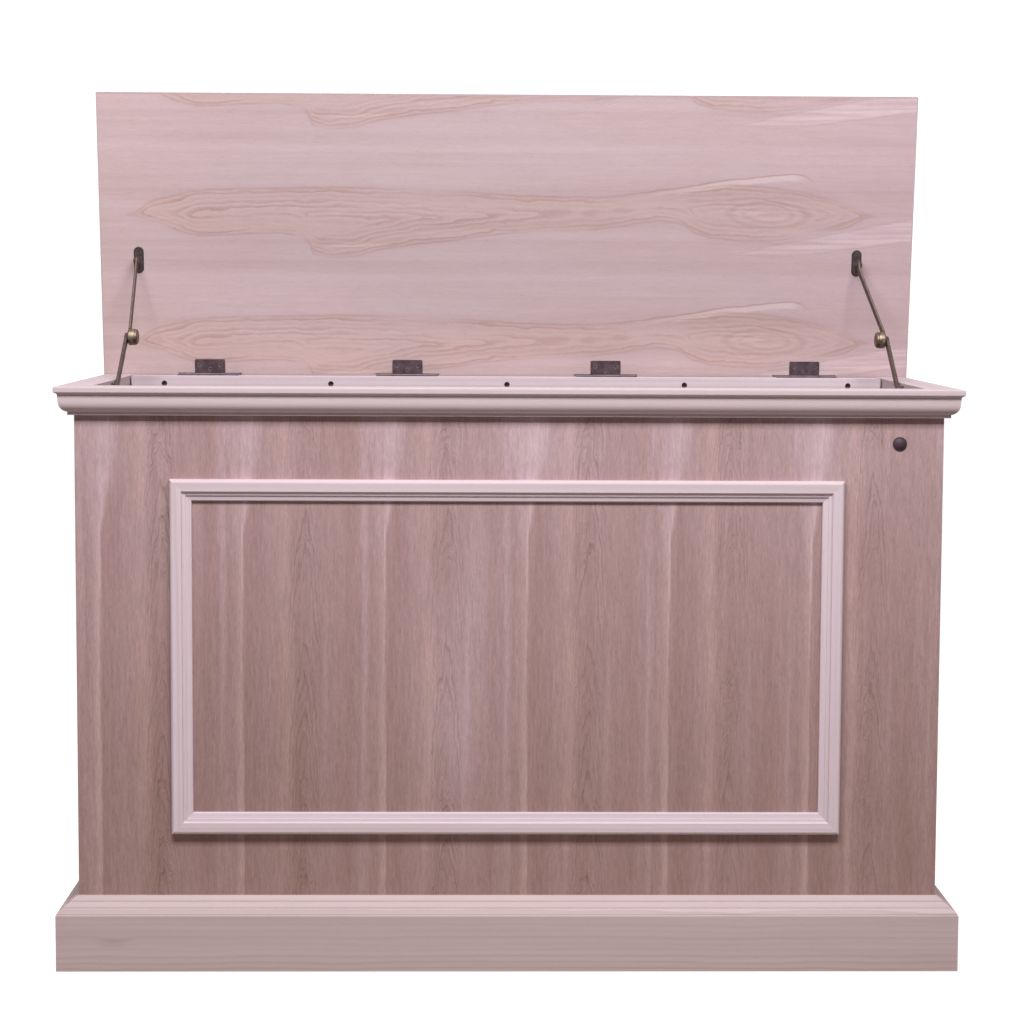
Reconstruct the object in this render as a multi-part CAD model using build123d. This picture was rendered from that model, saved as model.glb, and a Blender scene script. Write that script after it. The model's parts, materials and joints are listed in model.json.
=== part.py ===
"""Lift-lid storage chest: a veneered box with a moulded crown and base, a hinged lid and two folding stays.

Millimetres. +X is to the viewer's right, +Y to the back, +Z up. The origin is on the floor, at the centre
of the overall outline seen from above with the lid open. The lid is modelled open, with its stays stretched.
"""
from build123d import *
import math
import os

# ---- driving dimensions: the box ------------------------------------------------------------------------
total_height = 826.0  # floor to the top of the crown
carcass_width = 1220.0  # over the side panels
carcass_depth = 415.5  # front panel's face to back panel's rear face
wall = 23.5  # front and side panels
back_thickness = 19.0
floor_thickness = 18.0
storage_floor_height = 100.0  # floor to the top of the storage floor
panel_fit = 0.5  # gap round the loose-laid storage floor
cleat_depth = 20.0
cleat_height = 40.0
post_size = 28.0
post_head_gap = 2.0  # below the crown's inner lip

# ---- crown ----------------------------------------------------------------------------------------------
crown_overhang = 25.0  # beyond the front and side panels
crown_height = 40.0
crown_lip = 19.0  # thickness of the part that covers the panels' top edges
nose_height = 8.8
nose_radius = 2.2
nose_top_radius = 1.2
cove_back = 5.2  # back of the nose, where the cove ends
cove_drop = 13.6  # below the top, where the cove ends
ovolo_radius = 15.0
ovolo_start_back = 5.7
ovolo_start_drop = 21.0
crown_fillet_back = 17.0  # the small flat under the ovolo

# ---- base -----------------------------------------------------------------------------------------------
base_projection = 28.6  # beyond the front and side panels
base_board_height = 81.0  # the plain face
base_top_height = 102.8  # where the beads meet the panels
base_edge_radius = 1.2
base_bead_count = 3
base_bead_step = 1.2  # the small upright between two beads

# ---- moulding frame on the front panel ------------------------------------------------------------------
frame_width = 947.4
frame_height = 504.1
frame_shift = -3.3  # the frame sits this far off the middle
frame_bottom = 192.3  # floor to the frame's lower outer edge
mould_width = 30.5
mould_thickness = 11.5
mould_outer_radius = 5.0
mould_crest_end = 16.5
mould_crest_fall = 0.7
mould_cove_radius = 3.0
mould_bead_end = 22.3
mould_bead_fall = 0.5
mould_step = 1.4
mould_inner_edge = 4.8
mould_inner_radius = 2.4

# ---- hinge rail and lid ---------------------------------------------------------------------------------
rail_depth = 38.0
rail_height = 60.0
rail_end_gap = 2.5
rail_screw_drop = 11.5
rail_screw_positions = (-533.0, -274.3, 0.0, 277.0, 533.0)
lid_thickness = 19.0
lid_side_overhang = 26.2  # past each side panel
lid_width = carcass_width + 2 * lid_side_overhang
lid_back_overhang = 3.5  # the closed lid is set back by this much, over the hinge knuckles
lid_notch_gap = 0.4  # round the knuckles, in the lid's rear edge
lid_notch_side_gap = 2.2
lid_band = 2.0  # solid lipping round the lid's edges
lid_open_angle = 82.7  # from closed

# ---- hinges ---------------------------------------------------------------------------------------------
hinge_positions = (-468.6, -156.8, 157.0, 472.7)
leaf_thickness = 1.2
closed_gap = 0.2  # between the closed lid and the frame leaves
knuckle_radius = 2.0
knuckle_gap = 0.3  # behind the back panel
knuckle_end_gap = 0.3  # between neighbouring knuckles
pin_radius = 1.0
pin_clearance = 0.05
pin_head_radius = 1.7
pin_head_height = 0.7
lid_leaf_width = 47.5
lid_leaf_reach = 24.0  # from the pin's axis
frame_leaf_width = 96.0
frame_leaf_border = 8.0  # of the frame leaf in front of the lid leaf
leaf_clearance = 0.6
leaf_corner = 2.0
lid_leaf_screws = ((-16.5, 14.6), (16.5, 14.6), (0.0, 8.2))  # sideways, forward of the axis
frame_leaf_screws = ((-37.5, 10.5), (37.5, 10.5), (-37.5, 26.0), (37.5, 26.0))

# ---- screws ---------------------------------------------------------------------------------------------
screw_fit = 0.05
hinge_screw = dict(head_radius=2.9, head_height=1.5, shank_radius=1.3, length=15.0)
rail_screw = dict(head_radius=4.4, head_height=2.6, shank_radius=2.0, length=50.0)
cleat_screw = dict(head_radius=3.6, head_height=2.4, shank_radius=1.8, length=34.0)
stay_screw = dict(head_radius=3.0, head_height=1.6, shank_radius=1.4, length=14.0)
recess_width = 0.8
cleat_screw_end = 120.0  # first screw from each end of a long cleat
cleat_screw_count = 4

# ---- lid stays ------------------------------------------------------------------------------------------
wall_pivot_from_back = 231.6  # ahead of the back panel's rear face
wall_pivot_drop = 23.6  # below the crown's top
lid_pivot_reach = 181.0  # from the hinge axis, along the lid
lid_pivot_standoff = 12.1  # from the hinge axis' plane, to the lid's inner side
lower_arm_length = 145.0
upper_arm_length = 142.6
arm_width = 12.5
lower_arm_thickness = 4.5
upper_arm_thickness = 3.5
arm_eye_flat = 14.0  # straight stretch at each end of an arm, longer than the drum's radius
stay_plate_length = 41.0
stay_plate_width = 15.3
stay_plate_thickness = 1.6
stay_plate_screw_offset = 13.0
wall_boss_height = 0.3
wall_boss_radius = 6.0
running_gap = 0.2
elbow_gap = 0.3
ear_thickness = 2.0
ear_radius = 7.0
ear_inset = 2.2  # from the lid plate's outboard edge
rivet_radius = 2.5
rivet_head_radius = 4.5
rivet_head_height = 1.4
drum_radius = 12.6
drum_length = 15.5
drum_end_radius = 3.0
drum_groove = 10.5  # from the outboard end to the turned groove
drum_groove_width = 0.9
drum_groove_depth = 0.6
stay_sides = (("left", -1, 0.0), ("right", 1, 27.0))  # name, sign of X, how far inboard the lid plate is set

# ---- eye on the front panel -----------------------------------------------------------------------------
eye_post_gap = 1.5  # from its nut to the corner post
eye_height = 749.0
eye_radius = 10.0
eye_dome = 3.6
eye_rim = 1.0
eye_barrel_radius = 5.5
eye_barrel_end = 1.5  # past the nut
eye_nut_radius = 9.0
eye_nut_thickness = 4.0
eye_fit = 0.1

# ---- places worked out from them ------------------------------------------------------------------------
open_angle = math.radians(lid_open_angle)
crown_width = carcass_width + 2 * crown_overhang
base_width = carcass_width + 2 * base_projection
base_depth = carcass_depth + base_projection
lid_depth = carcass_depth + crown_overhang
hinge_setback = knuckle_radius + knuckle_gap
lid_seat = leaf_thickness / 2 + closed_gap  # lid's inner face above the axis when closed
lid_behind_axis = lid_back_overhang - hinge_setback
lid_back_reach = (lid_seat + lid_thickness) * math.sin(open_angle) + lid_behind_axis * math.cos(open_angle)
overall_depth = base_depth + hinge_setback + lid_back_reach
base_front = -overall_depth / 2
front_face = base_front + base_projection
back_face = front_face + carcass_depth
crown_front = front_face - crown_overhang
inner_half_width = carcass_width / 2 - wall
eye_x = inner_half_width - post_size - eye_post_gap - eye_nut_radius
inner_front = front_face + wall
inner_back = back_face - back_thickness
rail_front = inner_back - rail_depth
panel_top = total_height - crown_lip
axis_y = back_face + hinge_setback
axis_z = total_height + leaf_thickness / 2
hinge_axis = Axis((0, axis_y, axis_z), (1, 0, 0))
wall_pivot = (back_face - wall_pivot_from_back, total_height - wall_pivot_drop)
arm_radius = arm_width / 2

# distances of the stay's layers from the side panel's inner face, towards the middle of the chest
lower_arm_layer = stay_plate_thickness + wall_boss_height + running_gap
upper_arm_layer = lower_arm_layer + lower_arm_thickness + elbow_gap
ear_layer = upper_arm_layer - running_gap - ear_thickness


def open_lid(shape):
    """Turn what is modelled on the closed lid to where it is with the lid open."""
    return shape.rotate(hinge_axis, -lid_open_angle)


def lid_point(reach, standoff, angle):
    """(y, z) of a point of the lid, by its distance along the lid and inside it, at an opening angle."""
    y = axis_y - reach * math.cos(angle) - standoff * math.sin(angle)
    z = axis_z + reach * math.sin(angle) - standoff * math.cos(angle)
    return (y, z)


def elbow_point(wall_end, lid_end):
    """(y, z) where the two arms meet, on the side nearer the hinge and the floor."""
    dy = lid_end[0] - wall_end[0]
    dz = lid_end[1] - wall_end[1]
    span = math.hypot(dy, dz)
    along = (lower_arm_length**2 + span**2 - upper_arm_length**2) / (2 * span)
    across = math.sqrt(lower_arm_length**2 - along**2)
    y = wall_end[0] + (along * dy + across * dz) / span
    z = wall_end[1] + (along * dz - across * dy) / span
    return (y, z)


def block(x0, x1, y0, y1, z0, z1):
    """A board with its corners at the two given points."""
    return Pos((x0 + x1) / 2, (y0 + y1) / 2, (z0 + z1) / 2) * Box(x1 - x0, y1 - y0, z1 - z0)


def strip(face, length, start_mitred=True, end_mitred=True):
    """Carry an outline along X. Its first axis runs inwards, and a mitred end shortens with it."""
    reach = face.bounding_box().max.Y
    half = length / 2
    start = reach if start_mitred else 0
    end = reach if end_mitred else 0
    plan = Polyline((-half, 0), (half, 0), (half - end, reach), (-half + start, reach), close=True)
    clip = extrude(make_face(plan), amount=total_height, both=True)
    bar = extrude(face, amount=half, both=True)
    return bar & clip


def on_plane(origin, x_dir, z_dir, shape):
    """Place a shape that is modelled about the origin on a plane."""
    return Plane(origin=origin, x_dir=x_dir, z_dir=z_dir).location * shape


def three_sides(face, half_width, front_y, depth, height):
    """The front, left and right strips of a moulding that runs round three sides of the chest."""
    middle_y = front_y + depth / 2
    up = (0, 0, 1)
    front = on_plane((0, front_y, height), (1, 0, 0), up, strip(face, 2 * half_width))
    left = on_plane((-half_width, middle_y, height), (0, -1, 0), up, strip(face, depth, False, True))
    right = on_plane((half_width, middle_y, height), (0, 1, 0), up, strip(face, depth, True, False))
    return front, left, right


# ---- outlines: (inwards, upwards) from the outer edge ---------------------------------------------------
def yz(*points):
    """Points of an outline, drawn in the plane across X."""
    return [Vector(0, inwards, upwards) for inwards, upwards in points]


def plain_outline(thickness, low, high):
    return make_face(Polyline(*yz((0, low), (thickness, low), (thickness, high), (0, high)), close=True))


def crown_outline():
    """Nose, cove, ovolo and small flat, with a lip at the back that covers the panels' top edges."""
    inner = crown_overhang + wall
    nose_low = nose_height
    centre_back = ovolo_start_back + ovolo_radius
    end_drop = ovolo_start_drop + math.sqrt(ovolo_radius**2 - (centre_back - crown_fillet_back) ** 2)
    mid = math.radians(35)
    mid_back = centre_back - ovolo_radius * math.cos(mid)
    mid_drop = ovolo_start_drop + ovolo_radius * math.sin(mid)
    r = nose_radius
    t = nose_top_radius
    k = 1 - math.sqrt(0.5)
    cove_in = cove_back - r
    cove_down = cove_drop - nose_low
    top = yz((inner, 0), (t, 0))
    top_round = yz((t, 0), (t * k, -t * k), (0, -t))
    nose_face = yz((0, -t), (0, r - nose_low))
    nose_round = yz((0, r - nose_low), (r * k, r * k - nose_low), (r, -nose_low))
    cove = yz(
        (r, -nose_low),
        (r + cove_in * math.sqrt(0.5), -nose_low - cove_down * k),
        (cove_back, -cove_drop),
    )
    face = yz((cove_back, -cove_drop), (ovolo_start_back, -ovolo_start_drop))
    ovolo = yz((ovolo_start_back, -ovolo_start_drop), (mid_back, -mid_drop), (crown_fillet_back, -end_drop))
    back = yz(
        (crown_fillet_back, -end_drop),
        (crown_fillet_back, -crown_height),
        (crown_overhang, -crown_height),
        (crown_overhang, -crown_lip),
        (inner, -crown_lip),
        (inner, 0),
    )
    return make_face(
        [
            Line(*top),
            ThreePointArc(*top_round),
            Line(*nose_face),
            ThreePointArc(*nose_round),
            ThreePointArc(*cove),
            Line(*face),
            ThreePointArc(*ovolo),
            Polyline(*back),
        ]
    )


def base_outline():
    """A plain board whose top edge climbs to the panels in equal rounded beads."""
    r = base_edge_radius
    k = 1 - math.sqrt(0.5)
    edges = [Polyline(*yz((r, base_board_height), (0, base_board_height - r)))]
    edges.append(Polyline(*yz((0, base_board_height - r), (0, 0), (base_projection, 0))))
    bead_width = (base_projection - r) / base_bead_count
    bead_rise = (base_top_height - base_board_height) / base_bead_count
    for i in range(base_bead_count):
        x0 = r + i * bead_width
        x1 = x0 + bead_width
        z0 = base_board_height + i * bead_rise + base_bead_step
        z1 = base_board_height + (i + 1) * bead_rise
        bulge = (x0 + bead_width * 0.42, z0 + (z1 - z0) * 0.68)
        edges.append(Line(*yz((x0, z0 - base_bead_step), (x0, z0))))
        edges.append(ThreePointArc(*yz((x0, z0), bulge, (x1, z1))))
    edges.append(Line(*yz((base_projection, base_top_height), (base_projection, 0))))
    return make_face(edges)


def mould_outline():
    """Rounded outer edge, wide crest, cove, small bead and a thin rounded inner edge."""
    r = mould_outer_radius
    c = mould_cove_radius
    n = mould_inner_radius
    k = 1 - math.sqrt(0.5)
    crest = mould_thickness
    crest_end = crest - mould_crest_fall
    cove_low = crest_end - c
    bead_low = cove_low - mould_bead_fall
    inner_high = bead_low - mould_step
    edge_start = mould_width - n
    return make_face(
        [
            Line(*yz((0, 0), (0, crest - r))),
            ThreePointArc(*yz((0, crest - r), (r * k, crest - r * k), (r, crest))),
            Line(*yz((r, crest), (mould_crest_end, crest_end))),
            ThreePointArc(
                *yz(
                    (mould_crest_end, crest_end),
                    (mould_crest_end + c * k, crest_end - c * math.sqrt(0.5)),
                    (mould_crest_end + c, cove_low),
                )
            ),
            Line(*yz((mould_crest_end + c, cove_low), (mould_bead_end, bead_low))),
            Line(*yz((mould_bead_end, bead_low), (mould_bead_end, inner_high))),
            Line(*yz((mould_bead_end, inner_high), (edge_start, mould_inner_edge))),
            ThreePointArc(
                *yz(
                    (edge_start, mould_inner_edge),
                    (mould_width - n * k, mould_inner_edge - n * k),
                    (mould_width, mould_inner_edge - n),
                )
            ),
            Polyline(*yz((mould_width, mould_inner_edge - n), (mould_width, 0), (0, 0))),
        ]
    )


# ---- screws and rivets ----------------------------------------------------------------------------------
def screw_body(head_radius, head_height, shank_radius, length, grow=0.0):
    """A countersunk screw along -Z with its head's face at 0, or its hole when grown."""
    tip = 2 * shank_radius
    profile = Polyline(
        (0, grow),
        (head_radius + grow, grow),
        (head_radius + grow, -0.3),
        (shank_radius + grow, -head_height - grow),
        (shank_radius + grow, tip - length),
        (0, -length - grow),
        close=True,
    )
    return revolve(Plane.XZ.location * make_face(profile), Axis.Z)


def screw(size):
    """A screw with a cross recess."""
    body = screw_body(**size)
    depth = size["head_height"]
    arm = 1.2 * size["head_radius"]
    return body - Box(arm, recess_width, depth) - Box(recess_width, arm, depth)


def screw_hole(size):
    return screw_body(**size, grow=screw_fit)


def dome(radius, height):
    """A shallow rivet head standing on the plane z = 0."""
    ball = (radius**2 + height**2) / (2 * height)
    cap = Pos(0, 0, height - ball) * Sphere(ball)
    return cap & Pos(0, 0, height / 2) * Cylinder(radius, height)


def group(solids):
    """Several equal pieces kept in one node."""
    return Compound(children=list(solids))


# ---- the box --------------------------------------------------------------------------------------------
def make_panels():
    front, left, right = three_sides(
        plain_outline(wall, 0, panel_top), carcass_width / 2, front_face, carcass_depth, 0
    )
    back = block(-inner_half_width, inner_half_width, inner_back, back_face, 0, total_height)
    floor = block(
        panel_fit - inner_half_width,
        inner_half_width - panel_fit,
        inner_front + panel_fit,
        inner_back - panel_fit,
        storage_floor_height - floor_thickness,
        storage_floor_height,
    )
    return front, left, right, back, floor


def make_cleats():
    """Four cleats under the storage floor, and the screws that hold the long ones to the front and back."""
    top = storage_floor_height - floor_thickness
    low = top - cleat_height
    side_front = inner_front + cleat_depth
    side_back = inner_back - cleat_depth
    front = block(-inner_half_width, inner_half_width, inner_front, side_front, low, top)
    back = block(-inner_half_width, inner_half_width, side_back, inner_back, low, top)
    left = block(-inner_half_width, cleat_depth - inner_half_width, side_front, side_back, low, top)
    right = block(inner_half_width - cleat_depth, inner_half_width, side_front, side_back, low, top)
    first = cleat_screw_end - inner_half_width
    pitch = -2 * first / (cleat_screw_count - 1)
    middle = (low + top) / 2
    places = []
    for i in range(cleat_screw_count):
        x = first + i * pitch
        places.append(Plane((x, side_front, middle), (1, 0, 0), (0, 1, 0)).location)
        places.append(Plane((x, side_back, middle), (1, 0, 0), (0, -1, 0)).location)
    return front, back, left, right, places


def make_posts():
    """A square post glued in each upright corner of the storage space."""
    posts = {}
    for end, top, y0 in (
        ("front", panel_top - post_head_gap, inner_front),
        ("back", total_height - rail_height - post_head_gap, inner_back - post_size),
    ):
        outer = inner_half_width
        inner = inner_half_width - post_size
        low = storage_floor_height
        posts[f"{end}_left_corner_post"] = block(-outer, -inner, y0, y0 + post_size, low, top)
        posts[f"{end}_right_corner_post"] = block(inner, outer, y0, y0 + post_size, low, top)
    return posts


def make_frame():
    """Four mitred lengths of moulding on the front panel."""
    face = mould_outline()
    out = (0, -1, 0)
    low = frame_bottom
    high = frame_bottom + frame_height
    middle = frame_bottom + frame_height / 2
    half = frame_width / 2
    across = strip(face, frame_width)
    upright = strip(face, frame_height)
    return {
        "front_frame_bottom": on_plane((frame_shift, front_face, low), (1, 0, 0), out, across),
        "front_frame_top": on_plane((frame_shift, front_face, high), (-1, 0, 0), out, across),
        "front_frame_left": on_plane((frame_shift - half, front_face, middle), (0, 0, -1), out, upright),
        "front_frame_right": on_plane((frame_shift + half, front_face, middle), (0, 0, 1), out, upright),
    }


def make_rail():
    half = inner_half_width - rail_end_gap
    rail = block(-half, half, rail_front, inner_back, total_height - rail_height, total_height)
    height = total_height - rail_screw_drop
    places = [Plane((x, rail_front, height), (1, 0, 0), (0, -1, 0)).location for x in rail_screw_positions]
    return rail, places


def make_eye():
    """A domed lens with a barrel through the front panel, and the nut behind it."""
    ball = (eye_radius**2 + eye_dome**2) / (2 * eye_dome)
    cap = Pos(0, 0, eye_rim + eye_dome - ball) * Sphere(ball)
    head = cap & Pos(0, 0, (eye_rim + eye_dome) / 2) * Cylinder(eye_radius, eye_rim + eye_dome)
    barrel_length = wall + eye_nut_thickness + eye_barrel_end
    barrel = Pos(0, 0, -barrel_length / 2) * Cylinder(eye_barrel_radius, barrel_length)
    hole = Pos(0, 0, -wall / 2) * Cylinder(eye_barrel_radius + eye_fit, 2 * wall)
    nut_plan = RegularPolygon(eye_nut_radius, 6) - Circle(eye_barrel_radius + screw_fit)
    nut = Pos(0, 0, -wall - eye_nut_thickness) * extrude(nut_plan, amount=eye_nut_thickness)
    place = Plane((eye_x, front_face, eye_height), (1, 0, 0), (0, -1, 0)).location
    return place * (head + barrel), place * nut, place * hole


# ---- lid and hinges -------------------------------------------------------------------------------------
def make_lid():
    """The lid's panel and its four mitred edge strips, as they lie when the lid is closed."""
    low = axis_z + lid_seat
    high = low + lid_thickness
    half = lid_width / 2
    front = crown_front + lid_back_overhang
    back = back_face + lid_back_overhang
    panel = block(lid_band - half, half - lid_band, front + lid_band, back - lid_band, low, high)
    face = plain_outline(lid_band, 0, lid_thickness)
    middle_y = (front + back) / 2
    up = (0, 0, 1)
    back_edge = on_plane((0, back, low), (-1, 0, 0), up, strip(face, lid_width))
    notch_half = frame_leaf_width / 2 + lid_notch_side_gap
    notch_high = axis_z + knuckle_radius + lid_notch_gap
    for x in hinge_positions:
        notch = block(x - notch_half, x + notch_half, back_face, back + 1, low - 1, notch_high)
        panel -= notch
        back_edge -= notch
    return panel, {
        "lid_edge_front": on_plane((0, front, low), (1, 0, 0), up, strip(face, lid_width)),
        "lid_edge_back": back_edge,
        "lid_edge_left": on_plane((-half, middle_y, low), (0, -1, 0), up, strip(face, lid_depth)),
        "lid_edge_right": on_plane((half, middle_y, low), (0, 1, 0), up, strip(face, lid_depth)),
    }


def knuckle(x0, x1):
    """A length of hinge barrel about the axis, bored for the pin."""
    middle = (x0 + x1) / 2
    tube = Cylinder(knuckle_radius, x1 - x0) - Cylinder(pin_radius + pin_clearance, x1 - x0)
    return Pos(middle, axis_y, axis_z) * (Rot(0, 90, 0) * tube)


def pin_bore(width):
    return Pos(0, axis_y, axis_z) * (Rot(0, 90, 0) * Cylinder(pin_radius + pin_clearance, width))


def leaf_plate(width, reach, low, high):
    """A flat leaf from the pin's axis forwards, with its two far corners rounded."""
    plate = block(-width / 2, width / 2, axis_y - reach, axis_y, low, high)
    far_corners = plate.edges().filter_by(Axis.Z).sort_by(Axis.Y)[:2]
    return fillet(far_corners, leaf_corner)


def make_hinge_leaves():
    """Frame leaf and lid leaf of one hinge about X = 0, with the lid closed."""
    slot_half = lid_leaf_width / 2 + leaf_clearance
    slot_reach = lid_leaf_reach + leaf_clearance
    low = axis_z - leaf_thickness / 2
    high = axis_z + leaf_thickness / 2
    outer = frame_leaf_width / 2
    frame = leaf_plate(frame_leaf_width, slot_reach + frame_leaf_border, low, high)
    frame -= block(-slot_half, slot_half, axis_y - slot_reach, axis_y + knuckle_radius, low - 1, high + 1)
    knuckle_start = lid_leaf_width / 2 + knuckle_end_gap
    frame += knuckle(-outer, -knuckle_start)
    frame += knuckle(knuckle_start, outer)
    frame -= pin_bore(frame_leaf_width + 2)
    lid_half = lid_leaf_width / 2
    lid = leaf_plate(lid_leaf_width, lid_leaf_reach, low + closed_gap, high + closed_gap)
    lid += knuckle(-lid_half, lid_half)
    lid -= pin_bore(lid_leaf_width + 2)
    for x, forward in frame_leaf_screws:
        frame -= Pos(x, axis_y - forward, high) * screw_hole(hinge_screw)
    for x, forward in lid_leaf_screws:
        lid -= Pos(x, axis_y - forward, low + closed_gap) * (Rot(180, 0, 0) * screw_hole(hinge_screw))
    return frame, lid


def make_hinge_pin():
    """A pin with a domed head at each end."""
    length = frame_leaf_width
    shaft = Cylinder(pin_radius, length)
    head = dome(pin_head_radius, pin_head_height)
    top = Pos(0, 0, length / 2) * head
    bottom = Pos(0, 0, -length / 2) * (Rot(180, 0, 0) * head)
    return Pos(0, axis_y, axis_z) * (Rot(0, 90, 0) * (shaft + top + bottom))


def hinge_screw_places():
    """Where the hinge screws stand: in the frame's top, and in the closed lid's inner face."""
    in_frame = []
    in_lid = []
    frame_head = axis_z + leaf_thickness / 2
    lid_head = axis_z - leaf_thickness / 2 + closed_gap
    for hinge_x in hinge_positions:
        for x, forward in frame_leaf_screws:
            in_frame.append(Pos(hinge_x + x, axis_y - forward, frame_head))
        for x, forward in lid_leaf_screws:
            in_lid.append(Pos(hinge_x + x, axis_y - forward, lid_head) * Rot(180, 0, 0))
    return in_frame, in_lid


# ---- lid stays: modelled on the right, and mirrored for the left -----------------------------------------
def layer_plane(layer, point, x_dir=(0, 1, 0)):
    """A plane across X, a layer's distance in from the side panel, looking towards the chest's middle."""
    return Plane((inner_half_width - layer, point[0], point[1]), x_dir, (-1, 0, 0))


def stay_arm(start, end, layer, thickness, joggle):
    """A flat bar with round ends that steps sideways by the joggle between its two flat eyes."""
    dy = end[0] - start[0]
    dz = end[1] - start[1]
    length = math.hypot(dy, dz)
    r = arm_radius
    slot = extrude(SlotCenterToCenter(length, arm_width), amount=drum_radius + abs(joggle), both=True)
    near = -r - 1
    far = length + r + 1
    side = [(near, 0), (arm_eye_flat, 0), (length - arm_eye_flat, joggle), (far, joggle)]
    other = [(x, z + thickness) for x, z in reversed(side)]
    band_face = make_face(Polyline(*[Vector(x, 0, z) for x, z in side + other], close=True))
    band = extrude(band_face, amount=arm_width, both=True, dir=(0, 1, 0))
    arm = Pos(length / 2, 0, 0) * slot & band
    return layer_plane(layer, start, (0, dy, dz)).location * arm


def arm_bore(point, radius):
    """A long round bar along X, used to cut an eye."""
    return Pos(inner_half_width, *point) * (Rot(0, 90, 0) * Cylinder(radius, 4 * stay_plate_length))


def make_stay(lid_inset):
    """One stay on the right-hand side, in its place with the lid open."""
    lid_pivot = lid_point(lid_pivot_reach, lid_pivot_standoff, open_angle)
    closed_pivot = lid_point(lid_pivot_reach, lid_pivot_standoff, 0)
    elbow = elbow_point(wall_pivot, lid_pivot)
    bore = rivet_radius + pin_clearance

    plate_plan = SlotOverall(stay_plate_length, stay_plate_width, rotation=90)
    wall_plate = extrude(plate_plan, amount=stay_plate_thickness)
    boss_height = stay_plate_thickness + wall_boss_height
    wall_plate += Pos(0, 0, boss_height / 2) * Cylinder(wall_boss_radius, boss_height)
    wall_plate -= Cylinder(rivet_radius + screw_fit, 4 * boss_height)
    wall_screws = []
    for offset in (-stay_plate_screw_offset, stay_plate_screw_offset):
        place = Pos(0, offset, stay_plate_thickness)
        wall_plate -= place * screw_hole(stay_screw)
        wall_screws.append(place)
    at_wall = layer_plane(0, wall_pivot).location
    wall_screws = [at_wall * place for place in wall_screws]

    wall_rivet_length = lower_arm_layer + lower_arm_thickness + running_gap
    wall_rivet = Pos(0, 0, wall_rivet_length / 2) * Cylinder(rivet_radius, wall_rivet_length)
    wall_rivet += Pos(0, 0, wall_rivet_length) * dome(rivet_head_radius, rivet_head_height)

    lower_arm = stay_arm(wall_pivot, elbow, lower_arm_layer, lower_arm_thickness, 0)
    lower_arm -= arm_bore(wall_pivot, bore)
    stud = dome(rivet_head_radius, rivet_head_height)
    lower_arm += layer_plane(lower_arm_layer, elbow).location * (Rot(180, 0, 0) * stud)

    upper_arm = stay_arm(elbow, lid_pivot, upper_arm_layer, upper_arm_thickness, lid_inset)
    upper_arm -= arm_bore(lid_pivot, bore)
    upper_arm -= arm_bore(elbow, drum_radius)

    drum = Pos(0, 0, drum_length / 2) * Cylinder(drum_radius, drum_length)
    drum = fillet(drum.edges().filter_by(GeomType.CIRCLE).sort_by(Axis.Z)[-1:], drum_end_radius)
    ring = Cylinder(drum_radius + 1, drum_groove_width) - Cylinder(drum_radius - drum_groove_depth, drum_groove_width)
    drum -= Pos(0, 0, drum_groove) * ring
    drum = layer_plane(upper_arm_layer, elbow).location * drum

    lid_face = axis_z + lid_seat
    ear_out = inner_half_width - ear_layer - lid_inset
    ear_in = ear_out - ear_thickness
    plate_x = ear_out + ear_inset - stay_plate_width / 2
    plate_y = closed_pivot[0]
    lid_plan = SlotOverall(stay_plate_length, stay_plate_width, rotation=90)
    lid_plate = Pos(plate_x, plate_y, lid_face - stay_plate_thickness) * extrude(
        lid_plan, amount=stay_plate_thickness
    )
    lid_plate += block(
        ear_in, ear_out, plate_y - ear_radius, plate_y + ear_radius, closed_pivot[1], lid_face
    )
    ear_x = (ear_in + ear_out) / 2
    lid_plate += Pos(ear_x, *closed_pivot) * (Rot(0, 90, 0) * Cylinder(ear_radius, ear_thickness))
    lid_plate -= arm_bore(closed_pivot, rivet_radius + screw_fit)
    lid_screws = []
    for offset in (-stay_plate_screw_offset, stay_plate_screw_offset):
        place = Pos(plate_x, plate_y + offset, lid_face - stay_plate_thickness) * Rot(180, 0, 0)
        lid_plate -= place * screw_hole(stay_screw)
        lid_screws.append(place)

    lid_rivet_length = ear_thickness + 2 * running_gap + upper_arm_thickness
    lid_rivet = Pos(0, 0, lid_rivet_length / 2) * Cylinder(rivet_radius, lid_rivet_length)
    lid_rivet += Pos(0, 0, lid_rivet_length) * dome(rivet_head_radius, rivet_head_height)
    lid_rivet += Rot(180, 0, 0) * dome(rivet_head_radius, rivet_head_height)
    at_ear = layer_plane(ear_layer + lid_inset, closed_pivot).location

    return {
        "wall_plate": at_wall * wall_plate,
        "wall_rivet": at_wall * wall_rivet,
        "lower_arm": lower_arm,
        "upper_arm": upper_arm,
        "drum": drum,
        "lid_plate": open_lid(lid_plate),
        "lid_rivet": open_lid(at_ear * lid_rivet),
        "wall_screw_places": wall_screws,
        "lid_screw_places": lid_screws,
    }


def handed(shape, sign):
    """The right-hand shape, or its mirror image for the left."""
    return shape if sign > 0 else mirror(shape, about=Plane.YZ)


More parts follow.
